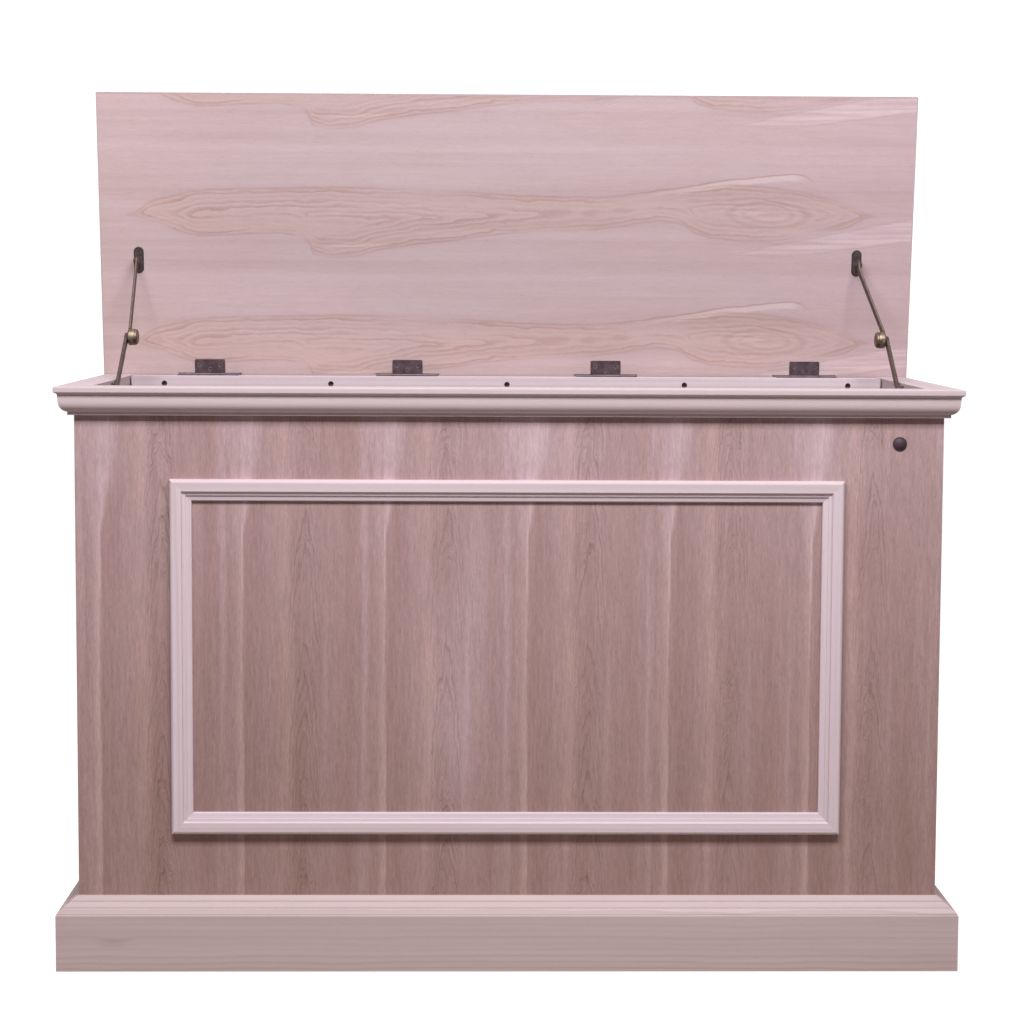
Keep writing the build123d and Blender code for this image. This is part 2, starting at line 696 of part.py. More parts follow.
def print_motion():
    """Joint positions and the angles that the stays turn through, in the record's units."""
    closed_pivot = lid_point(lid_pivot_reach, lid_pivot_standoff, 0)
    open_pivot = lid_point(lid_pivot_reach, lid_pivot_standoff, open_angle)
    turns = []
    for name, pivot_open, pivot_closed in (
        ("lower arm", wall_pivot, wall_pivot),
        ("upper arm", open_pivot, closed_pivot),
    ):
        elbow_open = elbow_point(wall_pivot, open_pivot)
        elbow_closed = elbow_point(wall_pivot, closed_pivot)
        start = math.atan2(elbow_open[1] - pivot_open[1], elbow_open[0] - pivot_open[0])
        end = math.atan2(elbow_closed[1] - pivot_closed[1], elbow_closed[0] - pivot_closed[0])
        turn = (math.degrees(end - start) + 180) % 360 - 180
        turns.append(turn)
        print(name, "pivot y, z:", [round(v / 1000, 6) for v in pivot_open], "turns", round(turn, 4))
    print("hinge axis y, z:", round(axis_y / 1000, 6), round(axis_z / 1000, 6))
    print("ratios:", turns[0] / lid_open_angle, (turns[1] - lid_open_angle) / lid_open_angle)
    print("front, inner front, rail front, back:", front_face, inner_front, rail_front, back_face)


def build():
    """Every node of the chest by name."""
    nodes = {}
    front, left, right, back, floor = make_panels()
    eye, eye_nut, eye_hole = make_eye()
    cleat_front, cleat_back, cleat_left, cleat_right, cleat_places = make_cleats()
    rail, rail_places = make_rail()
    frame_places, lid_places = hinge_screw_places()
    lid_panel, lid_edges = make_lid()
    stays = {}
    for name, sign, inset in stay_sides:
        stays[name] = make_stay(inset)

    front -= eye_hole
    for place in cleat_places:
        hole = place * screw_hole(cleat_screw)
        cleat_front -= hole
        cleat_back -= hole
        front -= hole
        back -= hole
    for place in rail_places:
        hole = place * screw_hole(rail_screw)
        rail -= hole
        back -= hole
    for place in frame_places:
        hole = place * screw_hole(hinge_screw)
        rail -= hole
        back -= hole
    for place in lid_places:
        lid_panel -= place * screw_hole(hinge_screw)

    nodes["front_panel"] = front
    nodes["back_panel"] = back
    nodes["storage_floor"] = floor
    nodes["floor_cleat_front"] = cleat_front
    nodes["floor_cleat_back"] = cleat_back
    nodes["floor_cleat_left"] = cleat_left
    nodes["floor_cleat_right"] = cleat_right
    nodes["floor_cleat_screws"] = group(place * screw(cleat_screw) for place in cleat_places)
    nodes.update(make_posts())
    nodes["hinge_rail"] = rail
    nodes["hinge_rail_screws"] = group(place * screw(rail_screw) for place in rail_places)
    crown = three_sides(crown_outline(), crown_width / 2, crown_front, lid_depth, total_height)
    base = three_sides(base_outline(), base_width / 2, base_front, base_depth, 0)
    for name, crown_piece, base_piece in zip(("front", "left", "right"), crown, base):
        nodes[f"crown_{name}"] = crown_piece
        nodes[f"base_{name}"] = base_piece
    nodes.update(make_frame())
    nodes["front_eye"] = eye
    nodes["front_eye_nut"] = eye_nut

    frame_leaf, lid_leaf = make_hinge_leaves()
    for number, x in enumerate(hinge_positions, start=1):
        nodes[f"hinge_{number}_frame_leaf"] = Pos(x, 0, 0) * frame_leaf
        nodes[f"hinge_{number}_lid_leaf"] = open_lid(Pos(x, 0, 0) * lid_leaf)
    pin = make_hinge_pin()
    nodes["hinge_pins"] = group(Pos(x, 0, 0) * pin for x in hinge_positions)
    nodes["hinge_frame_screws"] = group(place * screw(hinge_screw) for place in frame_places)
    nodes["hinge_lid_screws"] = group(open_lid(place * screw(hinge_screw)) for place in lid_places)

    side_panels = {"left": left, "right": right}
    wall_screws = []
    lid_screws = []
    wall_rivets = []
    lid_rivets = []
    for name, sign, inset in stay_sides:
        stay = stays[name]
        for piece in ("wall_plate", "lower_arm", "upper_arm", "drum", "lid_plate"):
            nodes[f"stay_{name}_{piece}"] = handed(stay[piece], sign)
        wall_rivets.append(handed(stay["wall_rivet"], sign))
        lid_rivets.append(handed(stay["lid_rivet"], sign))
        for place in stay["wall_screw_places"]:
            wall_screws.append(handed(place * screw(stay_screw), sign))
            hole = handed(place * screw_hole(stay_screw), sign)
            side_panels[name] -= hole
            nodes[f"crown_{name}"] -= hole
        for place in stay["lid_screw_places"]:
            lid_screws.append(handed(open_lid(place * screw(stay_screw)), sign))
            lid_panel -= handed(place * screw_hole(stay_screw), sign)
    nodes["stay_wall_screws"] = group(wall_screws)
    nodes["stay_lid_screws"] = group(lid_screws)
    nodes["stay_wall_rivets"] = group(wall_rivets)
    nodes["stay_lid_rivets"] = group(lid_rivets)
    nodes["left_side_panel"] = side_panels["left"]
    nodes["right_side_panel"] = side_panels["right"]
    nodes["lid_panel"] = open_lid(lid_panel)
    for name, edge in lid_edges.items():
        nodes[name] = open_lid(edge)
    return nodes


def main():
    os.makedirs("parts", exist_ok=True)
    for name, shape in build().items():
        export_step(shape, os.path.join("parts", f"{name}.step"))
    print_motion()


main()
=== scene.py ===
"""Looks of a lift-lid storage chest: veneered box and lid, poplar mouldings, dark hinges, bronze stays.

Metres, in the chest's own frame: +X to the right, +Y to the back, +Z up, floor at 0, lid modelled open.
"""
import json
import math

import bmesh
import bpy
import numpy as np
from mathutils import Matrix, Vector


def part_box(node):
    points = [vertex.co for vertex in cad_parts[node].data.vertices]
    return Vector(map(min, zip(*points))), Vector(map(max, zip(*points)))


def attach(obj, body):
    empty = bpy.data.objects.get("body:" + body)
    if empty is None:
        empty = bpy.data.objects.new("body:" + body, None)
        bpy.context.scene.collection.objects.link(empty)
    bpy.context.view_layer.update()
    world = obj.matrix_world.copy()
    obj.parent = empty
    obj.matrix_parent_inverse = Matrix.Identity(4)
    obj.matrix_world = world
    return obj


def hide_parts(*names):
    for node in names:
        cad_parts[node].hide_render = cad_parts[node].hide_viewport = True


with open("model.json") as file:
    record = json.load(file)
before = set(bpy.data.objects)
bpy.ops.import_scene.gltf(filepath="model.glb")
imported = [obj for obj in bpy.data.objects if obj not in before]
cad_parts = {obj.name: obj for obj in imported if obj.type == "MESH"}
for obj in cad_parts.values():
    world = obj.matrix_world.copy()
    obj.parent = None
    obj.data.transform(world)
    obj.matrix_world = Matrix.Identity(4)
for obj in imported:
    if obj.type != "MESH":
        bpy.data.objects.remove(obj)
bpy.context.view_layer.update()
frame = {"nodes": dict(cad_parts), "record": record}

JOINTS = {joint["name"]: joint for joint in frame["record"]["behaviour"]["joints"]}
HINGE_Y, HINGE_Z = JOINTS["lid_hinge"]["pos_m"][1:]
OPEN_ANGLE = math.radians(JOINTS["lid_hinge"]["range_deg"][1])  # how far the lid leans open, from closed


# ---- studio ---------------------------------------------------------------------------------------------
LENS, FILM_WIDTH = 79.05, 36.0  # in millimetres
LENS_DROP = -0.0485  # how far the view is shifted down, as a share of the film's width
CAMERA_PLACE = (-0.051, -3.35095, 0.9695)
CAMERA_YAW, CAMERA_PITCH, CAMERA_ROLL = 0.01696, 0.0787, -0.004806  # radians: right, down, over
AIR_GLOW = 0.105
SEEN_AIR = 1.1  # added where the camera looks past the chest, so that the air there is white
AIR_TINT = (1.0, 0.80, 0.70, 1.0)  # what bounces back from a warm room
WHITE = (1.0, 1.0, 1.0, 1.0)
FLOOR_PAINT = (0.36, 0.315, 0.29, 1.0)
FLOOR_LIFT = 0.98  # glow that the floor shows to the eye, and to nothing else
FLOOR_HALF = 14.0
FLOOR_DROP = 0.0004  # the floor lies this far under the chest
KEY_LAMP = dict(place=(0.0, -1.8, 2.85), target=(0.0, -0.2, 0.7), size=(3.2, 0.7), power=128.0)
BACK_LAMP = dict(place=(0.0, 2.4, 2.2), target=(0.0, 0.2, 0.6), size=(3.2, 1.0), power=20.0)


def front_camera():
    """A long lens at about the height of the stays, in front and a little left of the middle."""
    data = bpy.data.cameras.new("front_camera")
    data.lens = LENS
    data.sensor_width = FILM_WIDTH
    data.shift_y = LENS_DROP
    camera = bpy.data.objects.new("front_camera", data)
    bpy.context.scene.collection.objects.link(camera)
    aim = Matrix.Rotation(-CAMERA_YAW, 4, "Z") @ Matrix.Rotation(math.pi / 2 - CAMERA_PITCH, 4, "X")
    turn = aim @ Matrix.Rotation(-CAMERA_ROLL, 4, "Z")
    camera.matrix_world = Matrix.Translation(CAMERA_PLACE) @ turn
    bpy.context.scene.camera = camera


def softbox(name, place, target, size, power):
    """A rectangular studio light that faces a point."""
    data = bpy.data.lights.new(name, "AREA")
    data.shape = "RECTANGLE"
    data.size, data.size_y = size
    data.energy = power
    lamp = bpy.data.objects.new(name, data)
    lamp.location = place
    lamp.rotation_euler = (Vector(target) - Vector(place)).to_track_quat("-Z", "Y").to_euler()
    bpy.context.scene.collection.objects.link(lamp)


class Tree:
    """Short hand for a node tree: each call adds a node and links or sets its inputs."""

    def __init__(self, tree):
        self.tree = tree

    def feed(self, socket, value):
        if isinstance(value, bpy.types.NodeSocket):
            self.tree.links.new(value, socket)
        elif value is not None:
            socket.default_value = value

    def node(self, kind, *inputs, **settings):
        made = self.tree.nodes.new(kind)
        for name, value in settings.items():
            setattr(made, name, value)
        for socket, value in zip(made.inputs, inputs):
            self.feed(socket, value)
        return made

    def math(self, operation, *values):
        return self.node("ShaderNodeMath", *values, operation=operation).outputs[0]

    def plus(self, first, *others):
        for other in others:
            first = self.math("ADD", first, other)
        return first

    def times(self, first, *others):
        for other in others:
            first = self.math("MULTIPLY", first, other)
        return first

    def minus(self, first, second):
        return self.math("SUBTRACT", first, second)

    def over(self, first, second):
        return self.math("DIVIDE", first, second)

    def scale(self, vector, factors):
        return self.node("ShaderNodeVectorMath", vector, factors, operation="MULTIPLY").outputs[0]

    def combine(self, x, y, z):
        return self.node("ShaderNodeCombineXYZ", x, y, z).outputs[0]

    def noise(self, vector, detail, roughness=0.5):
        """Noise about 0.5 on a vector that is already at the wanted scale."""
        made = self.node("ShaderNodeTexNoise")
        self.feed(made.inputs["Vector"], vector)
        self.feed(made.inputs["Scale"], 1.0)
        self.feed(made.inputs["Detail"], detail)
        self.feed(made.inputs["Roughness"], roughness)
        return made.outputs[0]

    def step(self, value, low, high, start=0.0, end=1.0):
        """A smooth rise from start to end while the value goes from low to high."""
        made = self.node("ShaderNodeMapRange", value, low, high, start, end)
        made.interpolation_type = "SMOOTHSTEP"
        return made.outputs[0]

    def band(self, value, rise, fall):
        """A mask that rises over the value's first (low, high) span and falls over its second."""
        return self.times(self.step(value, *rise), self.step(value, *fall, 1.0, 0.0))

    def soft_peak(self, value):
        """exp(-value ^ 2): 1 where the value is 0, and soon 0 on both sides."""
        return self.math("EXPONENT", self.times(value, value, -1.0))

    def dice(self, number):
        """A random value from 0 to 1 for each whole number."""
        made = self.node("ShaderNodeTexWhiteNoise", noise_dimensions="1D")
        self.feed(made.inputs["W"], number)
        return made.outputs["Value"]

    def mix(self, factor, first, second, blend="MIX"):
        made = self.node("ShaderNodeMix", data_type="RGBA", blend_type=blend)
        for index, value in ((0, factor), (6, first), (7, second)):
            self.feed(made.inputs[index], value)
        return made.outputs[2]

    def group(self, tree, **inputs):
        made = self.node("ShaderNodeGroup", node_tree=tree)
        for name, value in inputs.items():
            self.feed(made.inputs[name], value)
        return made.outputs


def shade_group(name, inputs, outputs):
    """A shader group with named float or colour sockets: its tree, what comes in and where it goes out."""
    made = bpy.data.node_groups.new(name, "ShaderNodeTree")
    for label, kind in inputs.items():
        made.interface.new_socket(name=label, in_out="INPUT", socket_type="NodeSocket" + kind)
    for label, kind in outputs.items():
        made.interface.new_socket(name=label, in_out="OUTPUT", socket_type="NodeSocket" + kind)
    tree = Tree(made)
    source = tree.node("NodeGroupInput").outputs
    outlet = tree.node("NodeGroupOutput").inputs
    return tree, source, outlet


def studio():
    """A white room: a wide high lamp in front, a weak one behind, an even glow and a wide floor.

    The camera sees the air and the floor as white, whatever light they give the chest.
    """
    world = bpy.data.worlds.new("studio_air")
    bpy.context.scene.world = world
    world.use_nodes = True
    air = Tree(world.node_tree)
    world.node_tree.nodes.clear()
    seen = air.node("ShaderNodeLightPath").outputs["Is Camera Ray"]
    strength = air.plus(air.times(seen, SEEN_AIR), AIR_GLOW)
    tint = air.mix(seen, AIR_TINT, WHITE)
    back = air.node("ShaderNodeBackground", tint, strength)
    air.node("ShaderNodeOutputWorld", back.outputs[0])

    mesh = bpy.data.meshes.new("studio_floor")
    signs = ((-1, -1), (1, -1), (1, 1), (-1, 1))
    corners = [(x * FLOOR_HALF, y * FLOOR_HALF, -FLOOR_DROP) for x, y in signs]
    mesh.from_pydata(corners, [], [(0, 1, 2, 3)])
    floor = bpy.data.objects.new("studio_floor", mesh)
    bpy.context.scene.collection.objects.link(floor)
    paint = bpy.data.materials.new("studio_floor_white")
    paint.use_nodes = True
    paint.node_tree.nodes.clear()
    tree = Tree(paint.node_tree)
    matt = tree.node("ShaderNodeBsdfPrincipled")
    matt.inputs["Base Color"].default_value = FLOOR_PAINT
    matt.inputs["Roughness"].default_value = 0.9
    glow = tree.times(tree.node("ShaderNodeLightPath").outputs["Is Camera Ray"], FLOOR_LIFT)
    lift = tree.node("ShaderNodeEmission", WHITE, glow)
    both = tree.node("ShaderNodeAddShader", matt.outputs[0], lift.outputs[0])
    tree.node("ShaderNodeOutputMaterial", both.outputs[0])
    mesh.materials.append(paint)

    softbox("key_softbox", **KEY_LAMP)
    softbox("back_softbox", **BACK_LAMP)


front_camera()
studio()


# ---- shared wood effects --------------------------------------------------------------------------------
def growth_rings():
    """Growth lines of a flat-sawn board.

    A line is where the distance from the heart passes a whole number of ring spacings. The distance is
    taken across the grain and by a height that climbs along the board, wanders, and takes an added hill.
    """
    names = ("Along", "Across", "Heart", "Slope", "Wander", "Hill", "Spacing", "Seed")
    sockets = {name: "Float" for name in names}
    tree, given, out = shade_group("growth_rings", sockets, {"Lines": "Float", "Tone": "Float"})

    def sway(along, across):
        """Noise about 0 with its own scales along and across the board."""
        place = (tree.times(given["Along"], along), tree.times(given["Across"], across), given["Seed"])
        return tree.minus(tree.noise(tree.combine(*place), 2.0), 0.5)

    wander = tree.plus(sway(3.4, 9.0), tree.times(sway(17.0, 55.0), 0.22))
    drift = tree.times(wander, given["Wander"])
    climb = tree.times(given["Along"], given["Slope"])
    height = tree.plus(climb, drift, given["Hill"])
    across = tree.plus(given["Across"], given["Heart"])
    away = tree.math("SQRT", tree.plus(tree.times(across, across), tree.times(height, height)))
    ring = tree.over(away, given["Spacing"])
    part = tree.math("FRACT", ring)
    number = tree.plus(tree.math("FLOOR", ring), given["Seed"])
    weight = tree.step(tree.dice(number), 0.0, 1.0, 0.2, 1.0)
    tree.feed(out["Lines"], tree.times(tree.band(part, (0.35, 0.9), (0.93, 1.0)), weight))
    tree.feed(out["Tone"], tree.noise(tree.combine(tree.times(ring, 0.45), given["Seed"], 0.0), 1.0))
    return tree.tree


def cathedral_arches():
    """Pointed arches stacked up one column of a veneer leaf.

    A line is where (height + steepness * distance from the column ^ 1.5) / pitch passes a whole number, so
    the two legs of an arch run down almost upright. The height wanders, and some arches are fainter.
    """
    names = ("Along", "Across", "Steepness", "Pitch", "Column", "Wander", "Seed")
    sockets = {name: "Float" for name in names}
    tree, given, out = shade_group("cathedral_arches", sockets, {"Lines": "Float"})

    def drift(along, across, offset, size):
        """A noise about 0 with its own scales, times a size."""
        place = tree.combine(
            tree.times(given["Along"], along),
            tree.times(given["Across"], across),
            tree.plus(given["Seed"], offset),
        )
        return tree.times(tree.minus(tree.noise(place, 3.0), 0.5), size)

    sway = tree.plus(drift(9.0, 8.0, 0.0, 0.014), drift(70.0, 90.0, 3.0, 0.004))
    beside = tree.math("ABSOLUTE", tree.plus(given["Across"], sway))
    fall = tree.times(tree.math("POWER", beside, 1.5), given["Steepness"])
    wander = tree.times(drift(14.0, 80.0, 7.0, 1.0), given["Wander"])
    index = tree.over(tree.plus(given["Along"], fall, wander), given["Pitch"])
    part = tree.math("FRACT", index)
    number = tree.plus(tree.math("FLOOR", index), given["Seed"])
    weight = tree.step(tree.dice(number), 0.1, 0.9, 0.15, 1.0)
    line = tree.band(part, (0.55, 0.95), (0.96, 1.0))
    column = tree.step(tree.over(beside, given["Column"]), 0.45, 1.0, 1.0, 0.0)
    tree.feed(out["Lines"], tree.times(line, weight, column))
    return tree.tree


def wood_fibre():
    """Marks that run with the grain: broad streaks, fine fibres and short open pores."""
    tree, given, out = shade_group(
        "wood_fibre",
        {"Along": "Float", "Across": "Float", "Depth": "Float", "Seed": "Float"},
        {"Streak": "Float", "Fibre": "Float", "Pores": "Float"},
    )

    def stretched(along, across):
        """Noise coordinates that change quickly across the grain and slowly along it."""
        return tree.combine(
            tree.plus(tree.times(given["Along"], along), given["Seed"]),
            tree.times(given["Across"], across),
            tree.times(given["Depth"], across),
        )

    tree.feed(out["Streak"], tree.noise(stretched(0.8, 34.0), 4.0, 0.6))
    coarse = tree.noise(stretched(36.0, 310.0), 3.0, 0.68)
    fine = tree.noise(stretched(150.0, 760.0), 2.0)
    tree.feed(out["Fibre"], tree.plus(tree.times(coarse, 0.6), tree.times(fine, 0.4)))
    tree.feed(out["Pores"], tree.step(tree.noise(stretched(110.0, 900.0), 1.0), 0.66, 0.76))
    return tree.tree


def wood_colour():
    """Colour, relief and roughness of bare wood, from its streaks, lines, fibres, pores and pale parts."""
    floats = ("Streak", "Lines", "Fibre", "Pores", "Pale", "Sawn End", "Line Strength", "Fibre Strength")
    colours = ("Dark", "Light", "Line", "Sapwood")
    tree, given, out = shade_group(
        "wood_colour",
        {**{name: "Float" for name in floats}, **{name: "Color" for name in colours}},
        {"Colour": "Color", "Relief": "Float", "Roughness": "Float"},
    )
    tone = tree.mix(tree.step(given["Streak"], 0.3, 0.7), given["Dark"], given["Light"])
    tone = tree.mix(given["Pale"], tone, given["Sapwood"])
    tone = tree.mix(tree.times(given["Lines"], given["Line Strength"]), tone, given["Line"])
    shade = tree.plus(1.0, tree.times(tree.minus(given["Fibre"], 0.5), given["Fibre Strength"]))
    tone = tree.mix(1.0, tone, tree.combine(shade, shade, shade), "MULTIPLY")
    tone = tree.mix(tree.times(given["Pores"], 0.22), tone, given["Line"])
    tone = tree.mix(tree.times(given["Sawn End"], 0.45), tone, given["Line"])
    tree.feed(out["Colour"], tone)
    relief = tree.minus(given["Fibre"], tree.times(given["Pores"], 0.6))
    tree.feed(out["Relief"], tree.minus(relief, tree.times(given["Lines"], 0.25)))
    tree.feed(out["Roughness"], tree.step(given["Fibre"], 0.2, 0.8, 0.6, 0.78))
    return tree.tree


RINGS = growth_rings()
ARCHES = cathedral_arches()
FIBRE = wood_fibre()
WOOD = wood_colour()


# ---- woods ----------------------------------------------------------------------------------------------
def rgba(tone):
    return (*tone, 1.0)


PALETTES = {  # dark and light streaks, growth lines, and the palest wood next to the bark
    "body": ((0.360, 0.233, 0.229), (0.432, 0.292, 0.303), (0.205, 0.118, 0.105), (0.60, 0.46, 0.52)),
    "lid": ((0.497, 0.376, 0.395), (0.568, 0.446, 0.484), (0.34, 0.20, 0.18), (0.72, 0.59, 0.61)),
    "pale": ((0.63, 0.512, 0.56), (0.715, 0.605, 0.672), (0.50, 0.385, 0.385), (0.76, 0.67, 0.71)),
    "crown": ((0.575, 0.465, 0.495), (0.65, 0.545, 0.59), (0.455, 0.35, 0.34), (0.70, 0.61, 0.64)),
    "plinth": ((0.525, 0.405, 0.41), (0.60, 0.48, 0.495), (0.385, 0.29, 0.26), (0.69, 0.57, 0.59)),
    "plywood": ((0.46, 0.32, 0.23), (0.56, 0.41, 0.31), (0.30, 0.19, 0.115), (0.62, 0.47, 0.37)),
}


class Board(Tree):
    """A wood material: coordinates along, across and into the grain, and the shared effects on them."""

    def __init__(self, name, grain, seed):
        self.material = bpy.data.materials.new(name)
        self.material.use_nodes = True
        super().__init__(self.material.node_tree)
        self.tree.nodes.clear()
        self.seed = seed
        source = self.node("ShaderNodeTexCoord")
        self.place = self.node("ShaderNodeSeparateXYZ", source.outputs["Object"]).outputs
        facing = self.node("ShaderNodeSeparateXYZ", source.outputs["Normal"]).outputs
        order = {"X": (0, 2, 1), "Y": (1, 2, 0), "Z": (2, 0, 1)}[grain]
        self.along, self.across, self.depth = (self.place[i] for i in order)
        self.sawn_end = self.step(self.math("ABSOLUTE", facing[order[0]]), 0.8, 0.95)

    def rings(self, heart, slope, wander, spacing, hill=0.0, seed=None):
        """This board's growth lines and the slow tone between them."""
        seed = self.seed if seed is None else seed
        shape = dict(Heart=heart, Slope=slope, Wander=wander, Hill=hill, Spacing=spacing)
        return self.group(RINGS, Along=self.along, Across=self.across, Seed=seed, **shape)

    def finish(self, palette, lines, pale, line_strength, fibre_strength, streak, seed=None, tints=()):
        """Mix the colour, wash it with each (mask, colour) tint, give it relief, and make the surface."""
        seed = self.seed if seed is None else seed
        marks = self.group(FIBRE, Along=self.along, Across=self.across, Depth=self.depth, Seed=seed)
        dark, light, line, sapwood = (rgba(tone) for tone in PALETTES[palette])
        inputs = {
            "Streak": self.plus(self.times(marks["Streak"], 0.6), self.times(streak, 0.4)),
            "Lines": lines,
            "Fibre": marks["Fibre"],
            "Pores": marks["Pores"],
            "Pale": pale,
            "Sawn End": self.sawn_end,
            "Line Strength": line_strength,
            "Fibre Strength": fibre_strength,
            "Dark": dark,
            "Light": light,
            "Line": line,
            "Sapwood": sapwood,
        }
        made = self.group(WOOD, **inputs)
        colour = made["Colour"]
        for mask, tint in tints:
            colour = self.mix(mask, colour, rgba(tint), "MULTIPLY")
        bump = self.node("ShaderNodeBump")
        bump.inputs["Strength"].default_value = 0.35
        bump.inputs["Distance"].default_value = 0.0003
        self.feed(bump.inputs["Height"], made["Relief"])
        surface = self.node("ShaderNodeBsdfPrincipled")
        self.feed(surface.inputs["Base Color"], colour)
        self.feed(surface.inputs["Roughness"], made["Roughness"])
        self.feed(surface.inputs["Normal"], bump.outputs[0])
        surface.inputs["Specular IOR Level"].default_value = 0.25
        self.node("ShaderNodeOutputMaterial", surface.outputs[0])
        return self.material


LEAF_WIDTH = 0.2005  # width of one veneer leaf
FIRST_SEAM = 0.0234  # a seam of the front veneer, right of the middle
ARCH_PLACE = 0.44  # where in a leaf its pointed arches stand


def soft_spot(wood, u, v, centre, reach):
    """A mask that is 1 at a place on the face and fades out over its reach, like a thumb mark."""
    du = wood.over(wood.minus(u, centre[0]), reach[0])
    dv = wood.over(wood.minus(v, centre[1]), reach[1])
    return wood.times(wood.soft_peak(du), wood.soft_peak(dv))


FRONT_SPOTS = (  # (place, reach, strength) of paler clouds on the front
    ((-0.078, 0.36), (0.045, 0.15), 0.42),
    ((-0.045, 0.56), (0.018, 0.10), 0.25),
    ((0.03, 0.74), (0.11, 0.05), 0.26),
    ((0.44, 0.73), (0.12, 0.07), 0.18),
)


def body_veneer(name, sideways, seed, spots=()):
    """Upright veneer leaves cut in turn from one log: each repeats the arches and the pale seam."""
    wood = Board(name, "Z", seed)
    u, z = wood.place[sideways], wood.place[2]
    run = wood.over(wood.minus(u, FIRST_SEAM), LEAF_WIDTH)
    leaf = wood.math("FLOOR", run)
    part = wood.math("FRACT", run)
    wood.across = wood.times(wood.minus(part, ARCH_PLACE), LEAF_WIDTH)
    leaf_seed = wood.plus(wood.times(leaf, 0.11), seed)

    def slow(along, across, offset):
        """Soft noise on the leaf, at its own scales along and across the grain."""
        place = (wood.times(z, along), wood.times(wood.across, across), wood.plus(leaf_seed, offset))
        return wood.noise(wood.combine(*place), 2.0)

    shapes = dict(Along=z, Across=wood.across, Seed=leaf_seed)
    tall = wood.group(ARCHES, Steepness=53.0, Pitch=0.047, Column=0.034, Wander=0.12, **shapes)["Lines"]
    small = wood.group(ARCHES, Steepness=24.0, Pitch=0.0105, Column=0.026, Wander=0.08, **shapes)["Lines"]
    patchy = wood.step(slow(7.0, 12.0, 5.0), 0.42, 0.6)
    lines = wood.plus(wood.times(tall, 0.6), wood.times(small, patchy, 0.75))

    high = wood.step(z, 0.60, 0.76)
    sway = wood.noise(wood.combine(wood.times(z, 3.0), u, seed), 2.0)
    shift = wood.plus(wood.times(high, 0.012), wood.times(sway, 0.006))
    from_seam = wood.times(wood.minus(part, wood.math("GREATER_THAN", part, 0.6)), LEAF_WIDTH)
    from_seam = wood.minus(from_seam, wood.minus(shift, 0.002))
    right_side = wood.math("GREATER_THAN", from_seam, 0.0)
    left_width = wood.plus(0.0105, wood.times(high, 0.018))
    right_width = wood.plus(0.0016, wood.times(high, 0.015))
    change = wood.times(wood.minus(right_width, left_width), right_side)
    pale = wood.soft_peak(wood.over(from_seam, wood.plus(left_width, change)))
    beige = wood.times(pale, wood.step(z, 0.55, 0.75, 1.0, 0.0))
    pale = wood.times(pale, wood.plus(wood.times(high, -0.1), 0.64))
    pale = wood.times(pale, wood.step(slow(3.0, 30.0, 13.0), 0.3, 0.6, 0.55, 1.0))
    pale = wood.plus(pale, wood.times(wood.step(slow(1.1, 42.0, 17.0), 0.52, 0.74), 0.24))
    beside = wood.over(wood.minus(part, wood.plus(0.26, wood.times(slow(2.0, 0.0, 29.0), 0.1))), 0.055)
    peach = wood.times(wood.soft_peak(beside), wood.step(slow(3.0, 8.0, 33.0), 0.35, 0.6))
    pale = wood.plus(pale, wood.times(peach, 0.22))
    for centre, reach, strength in spots:
        pale = wood.plus(pale, wood.times(soft_spot(wood, u, z, centre, reach), strength))

    deep = wood.times(soft_spot(wood, u, z, (-0.36, 0.36), (0.17, 0.24)), 1.0 if spots else 0.0)
    # Painted shade: low darkens the veneer towards the bottom, standing in for the light falling off
    # downwards, and also makes it browner there.
    low = wood.step(z, 0.05, 0.74, 1.0, 0.0)
    red = wood.times(wood.step(slow(1.6, 16.0, 21.0), 0.45, 0.65), 0.7)
    tints = (
        (deep, (0.90, 0.89, 0.88)),
        (low, (0.865, 0.825, 0.76)),
        (red, (0.975, 0.95, 0.945)),
        (peach, (1.02, 0.98, 0.91)),
        (beige, (1.03, 1.0, 0.93)),
    )
    return wood.finish(
        "body", lines, pale, line_strength=0.66, fibre_strength=0.95, streak=slow(1.3, 26.0, 25.0),
        seed=leaf_seed, tints=tints,
    )


FIGURE_TOP = (  # along the lid, and how far across its leaf: the figure's rear edge
    (-0.650, 0.125), (-0.595, 0.127), (-0.554, 0.146), (-0.514, 0.1555), (-0.465, 0.162), (-0.354, 0.168),
    (-0.154, 0.165), (0.024, 0.157), (0.165, 0.156), (0.280, 0.170), (0.387, 0.1745), (0.4585, 0.165),
    (0.534, 0.144), (0.574, 0.129), (0.650, 0.128),
)
FIGURE_BOTTOM = (  # and its front edge
    (-0.650, 0.121), (-0.595, 0.124), (-0.554, 0.118), (-0.510, 0.101), (-0.474, 0.093), (-0.340, 0.096),
    (-0.312, 0.086), (-0.300, 0.064), (-0.265, 0.0595), (-0.198, 0.071), (-0.109, 0.0856), (0.060, 0.103),
    (0.165, 0.109), (0.245, 0.118), (0.272, 0.114), (0.300, 0.098), (0.340, 0.091), (0.414, 0.0915),
    (0.476, 0.1007), (0.534, 0.112), (0.574, 0.125), (0.650, 0.126),
)
RIDGE = (  # the dark line behind the eye, which ends in a small hook
    (-0.650, 0.157), (0.120, 0.157), (0.165, 0.158), (0.245, 0.169), (0.365, 0.185), (0.450, 0.1925),
    (0.470, 0.186), (0.490, 0.172), (0.650, 0.160),
)
WEDGE = (  # the middle of the pale streaks in front of the figure
    (-0.650, 0.076), (-0.280, 0.076), (-0.180, 0.080), (0.300, 0.062), (0.420, 0.074), (0.628, 0.105),
    (0.650, 0.108),
)
WEDGE_HALF = (  # half the width of the pale wedges along that line
    (-0.650, 0.0), (-0.292, 0.0), (-0.272, 0.0045), (-0.225, 0.0035), (-0.165, 0.0), (0.350, 0.0),
    (0.430, 0.011), (0.520, 0.014), (0.650, 0.018),
)


